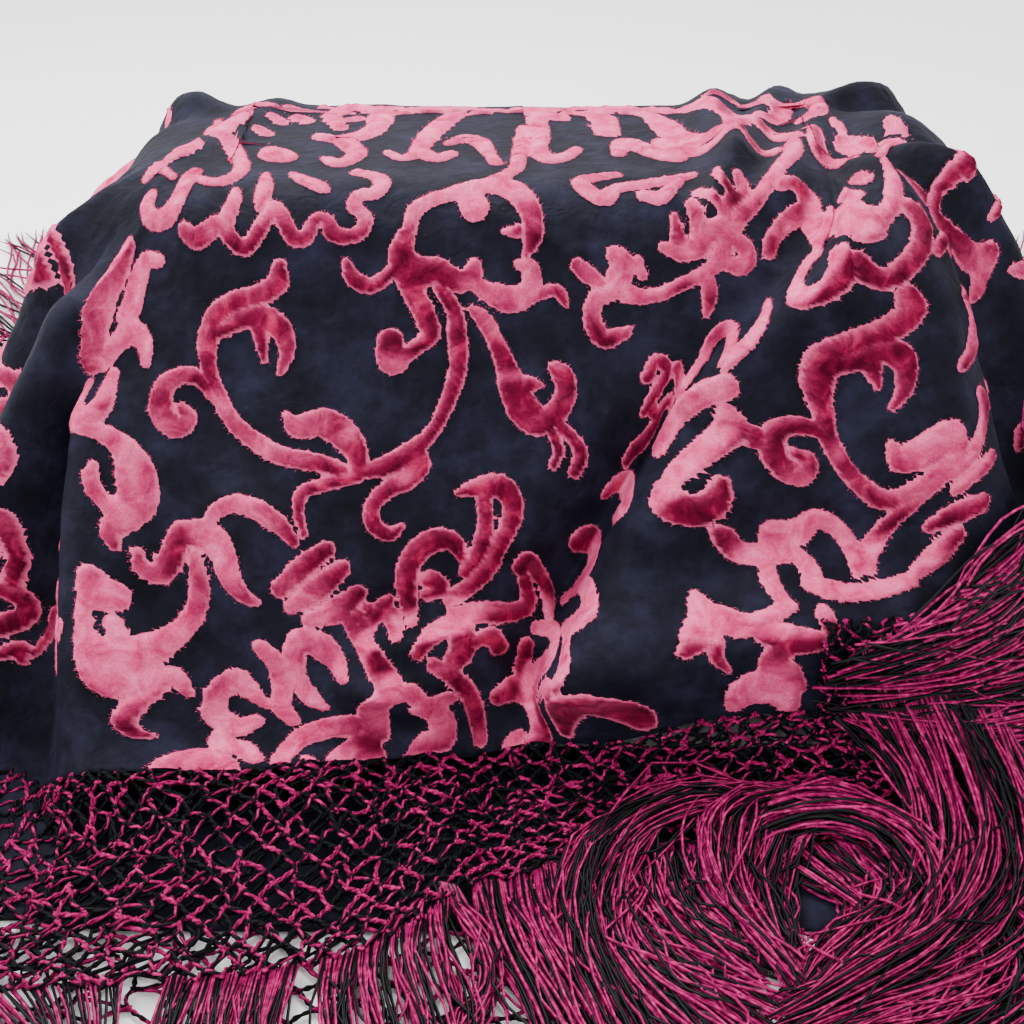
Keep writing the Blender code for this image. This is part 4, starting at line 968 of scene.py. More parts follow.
def add_mesh(name, points, faces, smooth=True):
    """A new piece with a mesh of these points, an array, and these faces, a list."""
    data = bpy.data.meshes.new(name)
    data.from_pydata(points.tolist(), [], faces)
    data.update()
    if smooth:
        data.shade_smooth()
    piece = bpy.data.objects.new(name, data)
    bpy.context.scene.collection.objects.link(piece)
    return piece


def set_attribute(piece, name, values):
    """Gives each point of a piece a value that its material reads."""
    layer = piece.data.attributes.new(name, "FLOAT", "POINT")
    layer.data.foreach_set("value", np.asarray(values, dtype=np.float32).ravel())


def add_wall(piece, thickness):
    """Gives a thin piece its thickness, inwards."""
    choose(piece)
    bpy.ops.object.modifier_add(type="SOLIDIFY")
    wall = piece.modifiers[-1]
    wall.thickness = thickness
    wall.offset = -1
    bpy.ops.object.modifier_apply(modifier=wall.name)
    bpy.ops.object.shade_smooth()


def finish_piece(piece, material, nodes):
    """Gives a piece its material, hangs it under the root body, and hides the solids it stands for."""
    piece.data.materials.clear()
    piece.data.materials.append(material)
    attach(piece, "root")
    if nodes:
        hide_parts(*nodes)
    return piece


def set_inputs(material, node, inputs):
    """Links or sets inputs of a shader node. Each value is an output, a colour or a number."""
    for key, value in inputs.items():
        if isinstance(value, bpy.types.NodeSocket):
            material.node_tree.links.new(value, node.inputs[key])
        elif isinstance(value, tuple):
            node.inputs[key].default_value = (*value, 1)
        else:
            node.inputs[key].default_value = value


def add_node(material, kind, inputs):
    """A new shader node of this kind, with its inputs linked or set."""
    node = material.node_tree.nodes.new("ShaderNode" + kind)
    set_inputs(material, node, inputs)
    return node


def start_material(name):
    """A new material, and the output that reads a place on the piece."""
    material = bpy.data.materials.new(name)
    material.use_nodes = True
    return material, add_node(material, "TexCoord", {}).outputs["Object"]


def finish_material(material, inputs):
    """The material with the inputs of its Principled shader linked or set."""
    set_inputs(material, material.node_tree.nodes["Principled BSDF"], inputs)
    return material


def add_noise(material, place, scale, detail=3.0, roughness=0.55, distortion=0.0):
    """A noise texture's output."""
    return add_node(material, "TexNoise", {
        "Vector": place, "Scale": scale, "Detail": detail, "Roughness": roughness, "Distortion": distortion,
    }).outputs["Fac"]


def add_ramp(material, source, stops):
    """A colour ramp's output, over stops of place and colour."""
    ramp = add_node(material, "ValToRGB", {"Fac": source})
    while len(ramp.color_ramp.elements) < len(stops):
        ramp.color_ramp.elements.new(0.5)
    for element, (place, colour) in zip(ramp.color_ramp.elements, stops):
        element.position = place
        element.color = (*colour, 1)
    return ramp.outputs["Color"]


def add_mix(material, factor, first, second, blend="MIX"):
    """A colour mix's output."""
    mix = add_node(material, "Mix", {})
    mix.data_type = "RGBA"
    mix.blend_type = blend
    set_inputs(material, mix, {0: factor, 6: first, 7: second})
    return mix.outputs[2]


def add_bump(material, height, strength, distance):
    """Small relief, as a node whose Normal is its output."""
    return add_node(material, "Bump", {"Height": height, "Strength": strength, "Distance": distance})


def read_attribute(material, name):
    """The output that reads a piece's attribute."""
    node = add_node(material, "Attribute", {})
    node.attribute_type = "GEOMETRY"
    node.attribute_name = name
    return node.outputs["Fac"]


def crepe_material():
    """Sheer dark crepe, with a soft bluish mottling and a fine pebbled weave."""
    material, place = start_material("dark_crepe")
    mottle = add_noise(material, place, 38, 5, 0.65)
    pebble = add_bump(material, add_noise(material, place, 1500, 2, 0.6), 0.35, 0.0003)
    crumple = add_bump(material, add_noise(material, place, 75, 3, 0.5, 0.6), 0.55, 0.004)
    set_inputs(material, crumple, {"Normal": pebble.outputs["Normal"]})
    return finish_material(material, {
        "Base Color": add_ramp(material, mottle, CREPE_DYE),
        "Roughness": 0.7,
        "Sheen Weight": 0.02,
        "Sheen Roughness": 0.5,
        "Sheen Tint": (0.40, 0.44, 0.80),
        "Specular IOR Level": 0.07,
        "Normal": crumple.outputs["Normal"],
    })


def velvet_material():
    """Cut pile: crimson in its depth, with a painted pink highlight at its rim and painted pink sheen where
    it faces the light.
    """
    material, place = start_material("cut_velvet")
    brushed = add_noise(material, place, 62, 4, 0.6, 0.8)
    tufts = add_noise(material, place, 900, 2, 0.6)
    crimson = add_ramp(material, brushed, PILE_CRIMSON)
    # The pink ramp is the pile's painted sheen, for where it is painted as lit.
    pink = add_ramp(material, brushed, PILE_SHEEN_PINK)
    # Mixes the crimson towards the painted pink sheen, by the painted sheen attribute.
    body = add_mix(material, read_attribute(material, "painted_sheen"), crimson, pink)
    shade = add_mix(material, tufts, (0.55, 0.55, 0.55), (1.35, 1.35, 1.35))
    body = add_mix(material, 1.0, body, shade, "MULTIPLY")
    # The base colour is mixed towards a painted rim highlight along the strokes' edges.
    return finish_material(material, {
        "Base Color": add_mix(material, read_attribute(material, "rim"), PILE_RIM_HIGHLIGHT, body),
        "Roughness": 0.85,
        "Sheen Weight": 0.15,
        "Sheen Roughness": 0.35,
        "Sheen Tint": (1.0, 0.30, 0.52),
        "Specular IOR Level": 0.04,
        "Normal": add_bump(material, tufts, 0.5, 0.0006).outputs["Normal"],
    })


def yarn_material(name, magenta, black, roughness, gloss):
    """Two-colour yarn: the dye attribute says which ply it is, and a fine noise breaks it up."""
    material, place = start_material(name)
    fleck = add_noise(material, place, 260, 3, 0.6)
    shade = tuple(0.30 * c for c in magenta)
    shine = tuple(min(1.0, 1.7 * c + 0.02) for c in magenta)
    light = add_ramp(material, fleck, ((0.32, shade), (0.52, magenta), (0.72, shine)))
    dark = add_ramp(material, fleck, ((0.35, black), (0.75, tuple(2.0 * c for c in black))))
    twist = add_noise(material, place, 1300, 1, 0.5)
    return finish_material(material, {
        "Base Color": add_mix(material, read_attribute(material, "dye"), dark, light),
        "Roughness": roughness,
        "Specular IOR Level": gloss,
        "Normal": add_bump(material, twist, 0.4, 0.0003).outputs["Normal"],
    })


def board_material():
    """Plain matt board of the block."""
    material, place = start_material("block_board")
    grain = add_noise(material, place, 90, 5, 0.6)
    return finish_material(material, {
        "Base Color": add_ramp(material, grain, BOARD_GREY),
        "Roughness": 0.85,
        "Normal": add_bump(material, grain, 0.2, 0.0005).outputs["Normal"],
    })


def ring_columns(straight, front_corner, end, back_corner):
    """Lengths round the block, from the middle of the back round to it again."""
    front = np.linspace(0, FRONT_END, straight + 1)
    corner = np.linspace(FRONT_END, SIDE_START, front_corner + 1)[1:]
    side = np.linspace(SIDE_START, SIDE_END, end + 1)[1:]
    back = np.linspace(SIDE_END, BACK_START, back_corner + 1)[1:]
    half = np.concatenate([front, corner, side, back, HALF_ROUND - front[::-1][1:]])
    return np.concatenate([-half[:0:-1], half])


def make_crepe(material):
    """The sheer crepe, one shell from the middle of the flat top down to its hem all round."""
    around = ring_columns(*CREPE_COLUMNS)[:, None]
    rows = np.linspace(0, 1, CREPE_ROWS)[None, :]
    past = TOP_MIDDLE + rows * (hem_past(around) - TOP_MIDDLE)
    piece, _, _ = spread_grid("crepe_shell", drape(around, past, -CREPE_SUNK))
    merge_seams(piece)
    choose(piece)
    bpy.ops.object.mode_set(mode="EDIT")
    bpy.ops.mesh.normals_make_consistent(inside=False)
    bpy.ops.object.mode_set(mode="OBJECT")
    add_wall(piece, CREPE_WALL)
    return finish_piece(piece, material, ["velvet_panel"])


def velvet_cells(around, past, seed):
    """Places, with those just outside pulled in to the edge, distance from the edge, the cells of the velvet
    and how much each place lies towards the light for the painted highlight, on a grid of places on the
    cloth.
    """
    rng = np.random.default_rng(seed)
    far = velvet_distance(around, past) + RAGGED * rng.standard_normal(around.shape)
    inside = far < 0
    kept = inside[:-1, :-1] | inside[1:, :-1] | inside[:-1, 1:] | inside[1:, 1:]
    step_round = np.gradient(length_round(around, past), axis=0) * 1000
    step_down = np.gradient(past, axis=1) * 1000
    slope_round = np.gradient(far, axis=0) / step_round
    slope_down = np.gradient(far, axis=1) / step_down
    steep = slope_round**2 + slope_down**2 + 0.02
    move = np.where(inside, 0, np.clip(far / steep, 0, 1.2))
    # How far each place lies on the side of its stroke towards the light, for a painted highlight.
    lit = (LIT_SIDE_ROUND * slope_round + LIT_SIDE_DOWN * slope_down) / np.sqrt(steep)
    around = around - move * slope_round / step_round * np.gradient(around, axis=0)
    past = past - move * slope_down / step_down * np.gradient(past, axis=1)
    return around, past, far, kept, lit, rng


def painted_sheen_at(around, past):
    """Painted sheen: 1 where the pile is painted pale as if lit, on faces that look upwards and to the left,
    and in the listed patches.
    """
    down = drape(around, past + SHEEN_STEP) - drape(around, past - SHEEN_STEP)
    along = drape(around + SHEEN_STEP, past) - drape(around - SHEEN_STEP, past)
    face = np.cross(along, down) * -1.0
    face /= np.maximum(np.linalg.norm(face, axis=-1), 1e-12)[..., None]
    face *= np.where(face[..., 2:] < 0, -1.0, 1.0)
    painted_sheen = smooth_step(face @ SHEEN_LIGHT_WAY, SHEEN_FROM, SHEEN_TO)
    for around_at_patch, past_at_patch, radius, strength in PAINTED_SHEEN_PATCHES:
        far = np.hypot(around - around_at_patch, past - past_at_patch)
        painted_sheen = np.maximum(painted_sheen, strength * (1 - smooth_step(far, 0.45 * radius, radius)))
    return painted_sheen


def make_velvet(name, around, past, seed, material, tufts):
    """The raised velvet of one stretch of cloth, with its ragged edge and its loose pile."""
    around, past = np.broadcast_arrays(around, past)
    around, past, far, kept, lit, rng = velvet_cells(np.array(around), np.array(past), seed)
    rise = PILE * (1 - np.exp(-np.clip(-far, 0, None) / PILE_ROUND))
    rise = np.where(far < 0, rise + TUFT_HEIGHT * rng.standard_normal(far.shape), -0.0003)
    points = drape(around, past, rise)
    index = np.arange(far.size).reshape(far.shape)
    i, j = np.nonzero(kept)
    quads = np.stack([index[i, j], index[i + 1, j], index[i + 1, j + 1], index[i, j + 1]], axis=1)
    used, quads = np.unique(quads, return_inverse=True)
    quads = quads.reshape(-1, 4)
    piece = add_mesh(name, points.reshape(-1, 3)[used], quads.tolist())
    depth = far.ravel()[used]
    lit = lit.ravel()[used]
    # Painted sheen of each place: pale where its face looks towards the light, and in the listed patches.
    painted_sheen = painted_sheen_at(around.ravel()[used], past.ravel()[used])
    # Painted rim highlight: 0 at a stroke's edge, rising to 1 inside.
    set_attribute(piece, "rim", smooth_step(-depth, -0.3, 1.3))
    # Painted sheen, plus a painted highlight on the side of each stroke towards the light.
    set_attribute(piece, "painted_sheen", painted_sheen + np.clip(lit, 0, 1) * LIT_SHARE * np.exp(depth / LIT_DEPTH))
    finish_piece(piece, material, [])
    hairs = make_pile(name + "_pile", around.ravel()[used], past.ravel()[used], depth, rng, tufts)
    finish_piece(hairs, material, [])
    return piece, hairs


def make_pile(name, around, past, depth, rng, tufts):
    """Loose pile: thin blades that stand out round the velvet's edge and over its face."""
    edge = np.flatnonzero(depth > -EDGE_BAND)
    face = np.flatnonzero(depth <= -EDGE_BAND)
    face = face[rng.random(len(face)) < tufts]
    chosen = np.concatenate([edge, edge, face])
    at_edge = np.arange(len(chosen)) < 2 * len(edge)
    a, p = around[chosen], past[chosen]
    count = len(chosen)
    angle = rng.random(count) * 2 * math.pi
    reach = np.where(at_edge, 0.0010, 0.0007) * (0.5 + 0.8 * rng.random(count))
    tip_a = a + reach * np.cos(angle)
    tip_p = p + reach * np.sin(angle)
    base = drape(a, p, np.where(at_edge, 0.0002, 0.6 * PILE))
    tip = drape(tip_a, tip_p, np.where(at_edge, 0.5 * PILE, 1.25 * PILE) * (0.7 + 0.6 * rng.random(count)))
    side = np.cross(tip - base, rng.standard_normal((count, 3)))
    side *= HAIR_WIDTH / np.maximum(np.linalg.norm(side, axis=1), 1e-9)[:, None]
    points = np.stack([base - side, base + side, tip], axis=1).reshape(-1, 3)
    faces = np.arange(3 * count).reshape(-1, 3).tolist()
    piece = add_mesh(name, points, faces, smooth=False)
    # Blades at the edge take part of the painted rim highlight; every blade takes the painted sheen of its
    # place.
    set_attribute(piece, "rim", np.repeat(np.where(at_edge, 0.45, 1.0), 3))
    set_attribute(piece, "painted_sheen", np.repeat(painted_sheen_at(a, p), 3))
    return piece


def tubes(paths, radius, sides, dye, name):
    """Closed tubes along many paths of the same number of points; radius for each point of each path."""
    count, steps = paths.shape[:2]
    tangent = np.gradient(paths, axis=1)
    tangent /= np.maximum(np.linalg.norm(tangent, axis=2), 1e-9)[..., None]
    up = np.zeros_like(tangent)
    up[..., 2] = 1
    up[np.abs(tangent[..., 2]) > 0.92] = (0, 1, 0)
    side = np.cross(tangent, up)
    side /= np.maximum(np.linalg.norm(side, axis=2), 1e-9)[..., None]
    other = np.cross(side, tangent)
    turn = 2 * math.pi * np.arange(sides) / sides
    ring = (side[:, :, None] * np.cos(turn)[None, None, :, None]
            + other[:, :, None] * np.sin(turn)[None, None, :, None])
    points = (paths[:, :, None] + ring * radius[:, :, None, None]).reshape(-1, 3)
    index = np.arange(count * steps * sides).reshape(count, steps, sides)
    a, b = index[:, :-1], index[:, 1:]
    quads = np.stack([a, np.roll(a, -1, axis=2), np.roll(b, -1, axis=2), b], axis=-1).reshape(-1, 4)
    faces = quads.tolist() + index[:, 0, ::-1].tolist() + index[:, -1].tolist()
    piece = add_mesh(name, points, faces)
    set_attribute(piece, "dye", np.repeat(dye.ravel(), sides))
    return piece


def net_knots(first, last, start_of, end_of, cell, drop, rng):
    """Places of the knots of a net: a lattice with uneven cells, even in true length round."""
    grid = np.linspace(first, last, 400)
    lengths = length_round(grid, 0.5 * (start_of(grid) + end_of(grid)))
    across = int(round((lengths[-1] - lengths[0]) / cell))
    down = int(round(float(np.mean(end_of(grid) - start_of(grid))) / (0.5 * drop)))
    i, j = np.arange(across + 1)[:, None], np.arange(down + 1)[None, :]
    share = np.clip((i + 0.5 * (j % 2)) / across, 0, 1)
    around = np.interp(lengths[0] + share * (lengths[-1] - lengths[0]), lengths, grid)
    around = around + 0.20 * rng.standard_normal(around.shape) * (last - first) / across
    around = np.clip(around, first, last)
    past = start_of(around) + j / down * (end_of(around) - start_of(around))
    return around, past + 0.15 * drop * rng.standard_normal(around.shape) * (j > 0) * (j < down)


def lattice_links(columns, rows):
    """Pairs of knots that a yarn joins."""
    pairs = []
    for j in range(rows - 1):
        shift = j % 2
        for i in range(columns):
            pairs.append((i, j, i, j + 1))
            other = i + 1 if shift else i - 1
            if 0 <= other < columns:
                pairs.append((i, j, other, j + 1))
    return np.array(pairs)


def make_layer(name, shape, rng, cell, drop, plies, steps, lift, share_black):
    """One layer of knotted net: yarns of twisted plies between the knots, and the knots."""
    *edges, place = shape
    around, past = net_knots(*edges, cell, drop, rng)
    pairs = lattice_links(*around.shape)
    a0, p0 = around[pairs[:, 0], pairs[:, 1]], past[pairs[:, 0], pairs[:, 1]]
    a1, p1 = around[pairs[:, 2], pairs[:, 3]], past[pairs[:, 2], pairs[:, 3]]
    t = np.linspace(0, 1, steps)[None, :]
    bow = YARN_BOW * rng.standard_normal(len(a0))[:, None] * np.sin(math.pi * t)
    a = a0[:, None] + t * (a1 - a0)[:, None] + bow
    p = p0[:, None] + t * (p1 - p0)[:, None] + 0.6 * bow
    hop = YARN_HOP * rng.random(len(a0))[:, None] * np.sin(math.pi * t)
    middle = place(a, p, lift + hop)
    tangent = np.gradient(middle, axis=1)
    tangent /= np.maximum(np.linalg.norm(tangent, axis=2), 1e-9)[..., None]
    side = np.cross(tangent, np.array([0.0, -0.2, 1.0]))
    side /= np.maximum(np.linalg.norm(side, axis=2), 1e-9)[..., None]
    over = np.cross(side, tangent)
    twist = YARN_TWIST * t + rng.random(len(a0))[:, None] * 2 * math.pi
    tone = rng.random(len(a0))
    apart = YARN_APART if plies > 1 else 0.0
    paths, dyes = [], []
    for ply in range(plies):
        turned = twist + ply * 2 * math.pi / plies
        paths.append(middle + apart * (side * np.cos(turned)[..., None] + over * np.sin(turned)[..., None]))
        pink = np.where(tone < share_black, 0.0, np.where(tone > 0.80, 1.0, float(ply == 0 and plies > 1)))
        dyes.append(np.repeat(pink[:, None], steps, axis=1))
    paths, dyes = np.concatenate(paths), np.concatenate(dyes)
    radius = np.full(paths.shape[:2], YARN_RADIUS if plies > 1 else 1.4 * YARN_RADIUS)
    yarns = tubes(paths, radius, 3, dyes, name)
    knots = make_knots(name + "_knots", place(around, past, lift + 0.0002).reshape(-1, 3), rng, share_black)
    return [yarns, knots]


def make_net(name, node, shape, yarn, doubled=True):
    """Knotted net of two twisted plies, black and magenta, over a darker layer of the same net.

    shape is the net's first and last around, its start and its end as functions of around, and the
    function that gives its places.
    """
    cell, drop, steps, seed = NET_SIZES[name]
    rng = np.random.default_rng(seed)
    parts = make_layer(name, shape, rng, cell, drop, 2, steps, UPPER_LIFT, UPPER_BLACK)
    if doubled:
        parts += make_layer(name + "_below", shape, rng, cell, drop, 1, CROSS_STEPS, LOWER_LIFT, LOWER_BLACK)
    choose(parts[0])
    for other in parts[1:]:
        other.select_set(True)
    bpy.ops.object.join()
    return finish_piece(parts[0], yarn, [node])


def make_knots(name, places, rng, share_black):
    """Small bent turns of yarn, one at each knot of the net."""
    count = len(places)
    t = np.linspace(0, 1, KNOT_STEPS)[None, :]
    spin = rng.random(count)[:, None] * 2 * math.pi
    wide = KNOT_WIDTH * (0.7 + 0.6 * rng.random(count))[:, None]
    turn = spin + 1.5 * math.pi * t
    hump = KNOT_HEIGHT * np.sin(2 * turn) + 0.5 * KNOT_HEIGHT
    paths = places[:, None, :] + np.stack([wide * np.cos(turn), wide * np.sin(turn), hump], axis=-1)
    radius = np.full((count, KNOT_STEPS), 1.25 * YARN_RADIUS)
    magenta = rng.random(count) > 0.25 + 0.7 * share_black
    dye = np.repeat(magenta.astype(float)[:, None], KNOT_STEPS, axis=1)
    return tubes(paths, radius, 3, dye, name)


def start_of_net(around):
    """How far down the net begins, just past the hem."""
    return hem_past(around) + SEAM_GAP


def looks_net_end(around):
    """The visual net's end: on the left of the front its knots hang a little over the strip."""
    left = smooth_step(around, *OVERHANG_FROM) * (1 - smooth_step(around, *OVERHANG_TO))
    return net_end(around) + LEFT_OVERHANG * left


def height_map():
    """Height over the table of the draped cloth and nets, on a grid of places in plan."""
    around = np.linspace(-MAP_ROUND, MAP_ROUND, 900)[:, None]
    past = np.minimum(np.linspace(0, MAP_DOWN, 520)[None, :], net_end(around))
    points = drape(around, past).reshape(-1, 3)
    i = np.clip(((points[:, 0] - MAP_LEFT) / MAP_CELL).astype(int), 0, MAP_SHAPE[0] - 1)
    j = np.clip(((points[:, 1] - MAP_NEAR) / MAP_CELL).astype(int), 0, MAP_SHAPE[1] - 1)
    heights = np.zeros(MAP_SHAPE)
    np.maximum.at(heights, (i, j), points[:, 2])
    for axis in (0, 1):
        heights = np.maximum(heights, np.maximum(np.roll(heights, 1, axis), np.roll(heights, -1, axis)))
    return heights


def height_over(heights, x, y):
    """Height of the map at places in plan, between its cells."""
    i = np.clip((x - MAP_LEFT) / MAP_CELL - 0.5, 0, MAP_SHAPE[0] - 1.001)
    j = np.clip((y - MAP_NEAR) / MAP_CELL - 0.5, 0, MAP_SHAPE[1] - 1.001)
    a, b = i.astype(int), j.astype(int)
    s, t = i - a, j - b
    near = (1 - s) * heights[a, b] + s * heights[a + 1, b]
    return (1 - t) * near + t * ((1 - s) * heights[a, b + 1] + s * heights[a + 1, b + 1])


def resample(lines, steps):
    """The same lines with evenly spaced points, rounded at their corners."""
    found = []
    for line in lines:
        ends = with_ends(line)
        t = np.arange(CURVE_PARTS)[:, None] / CURVE_PARTS
        fine = [curve_between(*four, t) for four in zip(ends, ends[1:], ends[2:], ends[3:])]
        fine = np.vstack(fine + [line[-1:]])
        length = np.concatenate([[0], np.cumsum(np.linalg.norm(np.diff(fine, axis=0), axis=1))])
        at = np.linspace(0, length[-1], steps)
        found.append(np.stack([np.interp(at, length, fine[:, k]) for k in range(2)], axis=1))
    return np.array(found)


def lay_on(heights, lines, lift, root_heights):
    """Points of strands that lie along lines in plan over the cloth and the table."""
    z = height_over(heights, lines[..., 0], lines[..., 1])
    for _ in range(3):
        z[:, 1:-1] = np.maximum(z[:, 1:-1], 0.25 * z[:, :-2] + 0.5 * z[:, 1:-1] + 0.25 * z[:, 2:])
    t = np.linspace(0, 1, lines.shape[1])[None, :]
    rise = lift[:, None] * smooth_step(t, 0, 0.2) * (1 - 0.6 * smooth_step(t, 0.75, 1))
    z = z + FLOOR_CLEARANCE + FLOSS_RADIUS + rise
    if root_heights is not None:
        z = z + (root_heights - z[:, 0])[:, None] * (1 - smooth_step(t, 0, 0.3))
    return np.concatenate([lines, np.maximum(z, FLOOR_CLEARANCE + FLOSS_RADIUS)[..., None]], axis=-1)


def strands_piece(name, node, paths, pink, material, radius=FLOSS_RADIUS):
    """A piece of thin tubes along the paths, narrower at their ends."""
    radius = np.full(paths.shape[:2], radius)
    radius[:, -1] *= 0.4
    dye = np.repeat(pink.astype(float)[:, None], paths.shape[1], axis=1)
    return finish_piece(tubes(paths, radius, 3, dye, name), material, [node])


def along_net(share, first, last):
    """Around at shares of the way along the net's edge, measured on the table."""
    around = np.linspace(first, last, 200)
    edge = drape(around, net_end(around))[:, :2]
    far = np.concatenate([[0], np.cumsum(np.hypot(*np.diff(edge, axis=0).T))])
    return np.interp(share * far[-1], far, around)


def make_end_fringe(name, seed, heights, material, density=13, steps=9):
    """The fringe at one end of the shawl, in the same families as the solids' strands, but finer."""
    rng = np.random.default_rng(seed)
    lines, roots = [], []
    for fringe, first, last, count, sweep_a, sweep_b, length_a, length_b in SWEPT_STRANDS:
        if fringe != name:
            continue
        n = count * density
        share = np.clip((np.arange(n) + 0.5 + 0.3 * rng.standard_normal(n)) / n, 0, 1)
        root = along_net(share, first, last)
        sweep = sweep_a + share * (sweep_b - sweep_a) + SWEEP_SPREAD * rng.standard_normal(n)
        length = (length_a + share * (length_b - length_a)) * (0.88 + 0.12 * rng.random(n))
        bend = BEND_SPREAD * rng.standard_normal(n)
        _, _, nx, ny = core_of(root)
        heading = np.arctan2(ny, nx) + HEADING_SPREAD * rng.standard_normal(n)
        start = drape(root, net_end(root) + 0.5 * STRIP)
        t = (np.arange(steps - 1) + 0.5)[None, :] / (steps - 1)
        turned = heading[:, None] + sweep[:, None] * t + bend[:, None] * np.sin(2.2 * math.pi * t)
        moves = np.stack([np.cos(turned), np.sin(turned)], axis=-1) * (length / (steps - 1))[:, None, None]
        line = np.concatenate([np.zeros((n, 1, 2)), np.cumsum(moves, axis=1)], axis=1) + start[:, None, :2]
        lines.append(line)
        roots.append(start[:, 2])
    lines, roots = np.concatenate(lines), np.concatenate(roots)
    paths = lay_on(heights, lines, 0.004 * rng.random(len(lines)), roots)
    pink = rng.random(len(lines)) > END_BLACK
    return strands_piece(name.replace("fringe", "strands"), name, paths, pink, material, END_FLOSS_RADIUS)


def wander(lines, rng, amount):
    """Lines with their corners rounded, and small waves across them that grow away from the root."""
    for _ in range(3):
        lines[:, 1:-1] = 0.25 * lines[:, :-2] + 0.5 * lines[:, 1:-1] + 0.25 * lines[:, 2:]
    t = np.linspace(0, 1, lines.shape[1])[None, :]
    count = len(lines)
    amount = amount * np.where(rng.random(count) > STRAY_FROM, STRAY_MORE, 1.0)
    for axis in (0, 1):
        turns = (0.6 + 1.8 * rng.random(count))[:, None] * t
        wave = np.sin(2 * math.pi * (turns + rng.random(count)[:, None]))
        tall = amount * np.clip(rng.standard_normal(count), -WAVE_LIMIT, WAVE_LIMIT)
        lines[..., axis] += tall[:, None] * wave * smooth_step(t, 0, 0.25)
    return lines


def between_lines(share, first_line, last_line):
    """Lines in metres that lie a share of the way from the first to the last, given in millimetres."""
    first_line, last_line = np.array(first_line) / 1000, np.array(last_line) / 1000
    return (1 - share)[:, None, None] * first_line + share[:, None, None] * last_line


def make_front_fringe(heights, material, density=9, steps=16):
    """The locks of fringe in front, and the loose ones heaped over them."""
    rng = np.random.default_rng(42)
    paths = []
    for first, last, count, tiers, first_line, last_line in LOCK_STRANDS:
        n = count * density
        share = np.clip((np.arange(n) + 0.5 + 0.4 * rng.standard_normal(n)) / n, 0, 1)
        root = first + share * (last - first)
        start = drape(root, looks_net_end(root) - 0.004 * rng.random(n))
        bunched = np.clip(share + 0.04 * np.sin(2 * math.pi * count / 3 * share), 0, 1)
        lines = np.concatenate([start[:, None, :2], between_lines(bunched, first_line, last_line)], axis=1)
        lines = wander(resample(lines, steps), rng, LOCK_WAVE)
        paths.append(lay_on(heights, lines, (0.002 + 0.0035 * tiers) * rng.random(n), start[:, 2]))
    for count, heap, first_line, last_line in LOOSE_LOCKS:
        share = rng.random(count)
        lines = resample(between_lines(share, first_line, last_line), steps)
        lines = wander(lines, rng, LOOSE_WAVE)
        middle = 1 - np.abs(2 * share - 1)
        lift = 0.003 + heap * (0.35 + 0.65 * middle) * rng.random(count)
        paths.append(lay_on(heights, lines, lift, None))
    paths = np.concatenate(paths)
    pink = rng.random(len(paths)) > FLOSS_BLACK
    return strands_piece("strands_front", "fringe_front", paths, pink, material)


def make_flap_fringe(material, count=300, steps=14):
    """Strands from the folded corner of net, lying over the cloth to the right."""
    rng = np.random.default_rng(31)
    share = rng.random(count)
    start = FLAP_TO - (FLAP_TO - FLAP_FROM) * (1.1 * rng.random(count)) * np.sin(math.pi * share)
    past0 = FLAP_TOP - 0.012 + share * (FLAP_FOOT - FLAP_TOP + 0.016)
    fan_end = 1.4 * FAN_DOWN * share - 1.5 * FAN_UP * (1 - share) + 0.010 * rng.standard_normal(count)
    length = (FLAP_TO - start) + FLAP_STRAND_LENGTH * (0.75 + 0.25 * rng.random(count))
    curl = 0.008 * rng.standard_normal(count)
    loops = 0.5 + 1.1 * rng.random(count)
    t = np.linspace(0, 1, steps)[None, :]
    around = start[:, None] + t * length[:, None]
    past = past0[:, None] + t * fan_end[:, None] + curl[:, None] * np.sin(2 * math.pi * loops[:, None] * t)
    here = folds_at(around, past)[0]
    bridge = np.maximum.reduce([folds_at(around + aside, past)[0] for aside in (-BRIDGE, 0, BRIDGE)])
    lift = FLAP_LIFT + 0.0015 + 0.007 * rng.random(count)[:, None]
    paths = drape(around, past, lift + bridge - here)
    pink = rng.random(count) > FLOSS_BLACK
    return strands_piece("strands_flap", "fringe_flap", paths, pink, material)


def make_under(crepe):
    """The lower half of the doubled shawl where it comes out in front, on the table."""
    around = np.linspace(UNDER_LEFT, UNDER_TO, UNDER_COLUMNS)[:, None]
    seam = UNDER_SEAM - UNDER_TAPER * (1 - smooth_step(around, UNDER_LEFT, UNDER_FROM))
    start = UNDER_START - UNDER_HIDDEN
    past = start + np.linspace(0, 1, UNDER_ROWS)[None, :] * (seam - start)
    piece, _, _ = spread_grid("crepe_under", table_layer(around, past, UNDER_CLOTH_HEIGHT))
    add_wall(piece, CREPE_WALL)
    return finish_piece(piece, crepe, ["under_panel"])


def straight_edge(past):
    """An edge of a net that stays at one depth all along."""
    return lambda around: past + 0 * np.asarray(around, float)


def over_the_cloth(around, past, lift):
    """Points of the folded corner of net, lift metres above its solid."""
    return drape(around, past, FLAP_LIFT + lift)


def on_the_table(around, past, lift):
    """Points of the lower net, lift metres above its place on the table."""
    return table_layer(around, past, UNDER_NET_HEIGHT + lift)


def make_floor():
    """Plain pale floor, which isn't part of the shawl."""
    bpy.ops.object.select_all(action="DESELECT")
    bpy.ops.mesh.primitive_plane_add(size=9, location=(0, 1.0, -0.0004))
    floor = bpy.context.object
    floor.name = "floor"
    material, place = start_material("pale_floor")
    tone = add_ramp(material, add_noise(material, place, 3, 3), FLOOR_WHITE)
    floor.data.materials.append(finish_material(material, {"Base Color": tone, "Roughness": 0.7}))


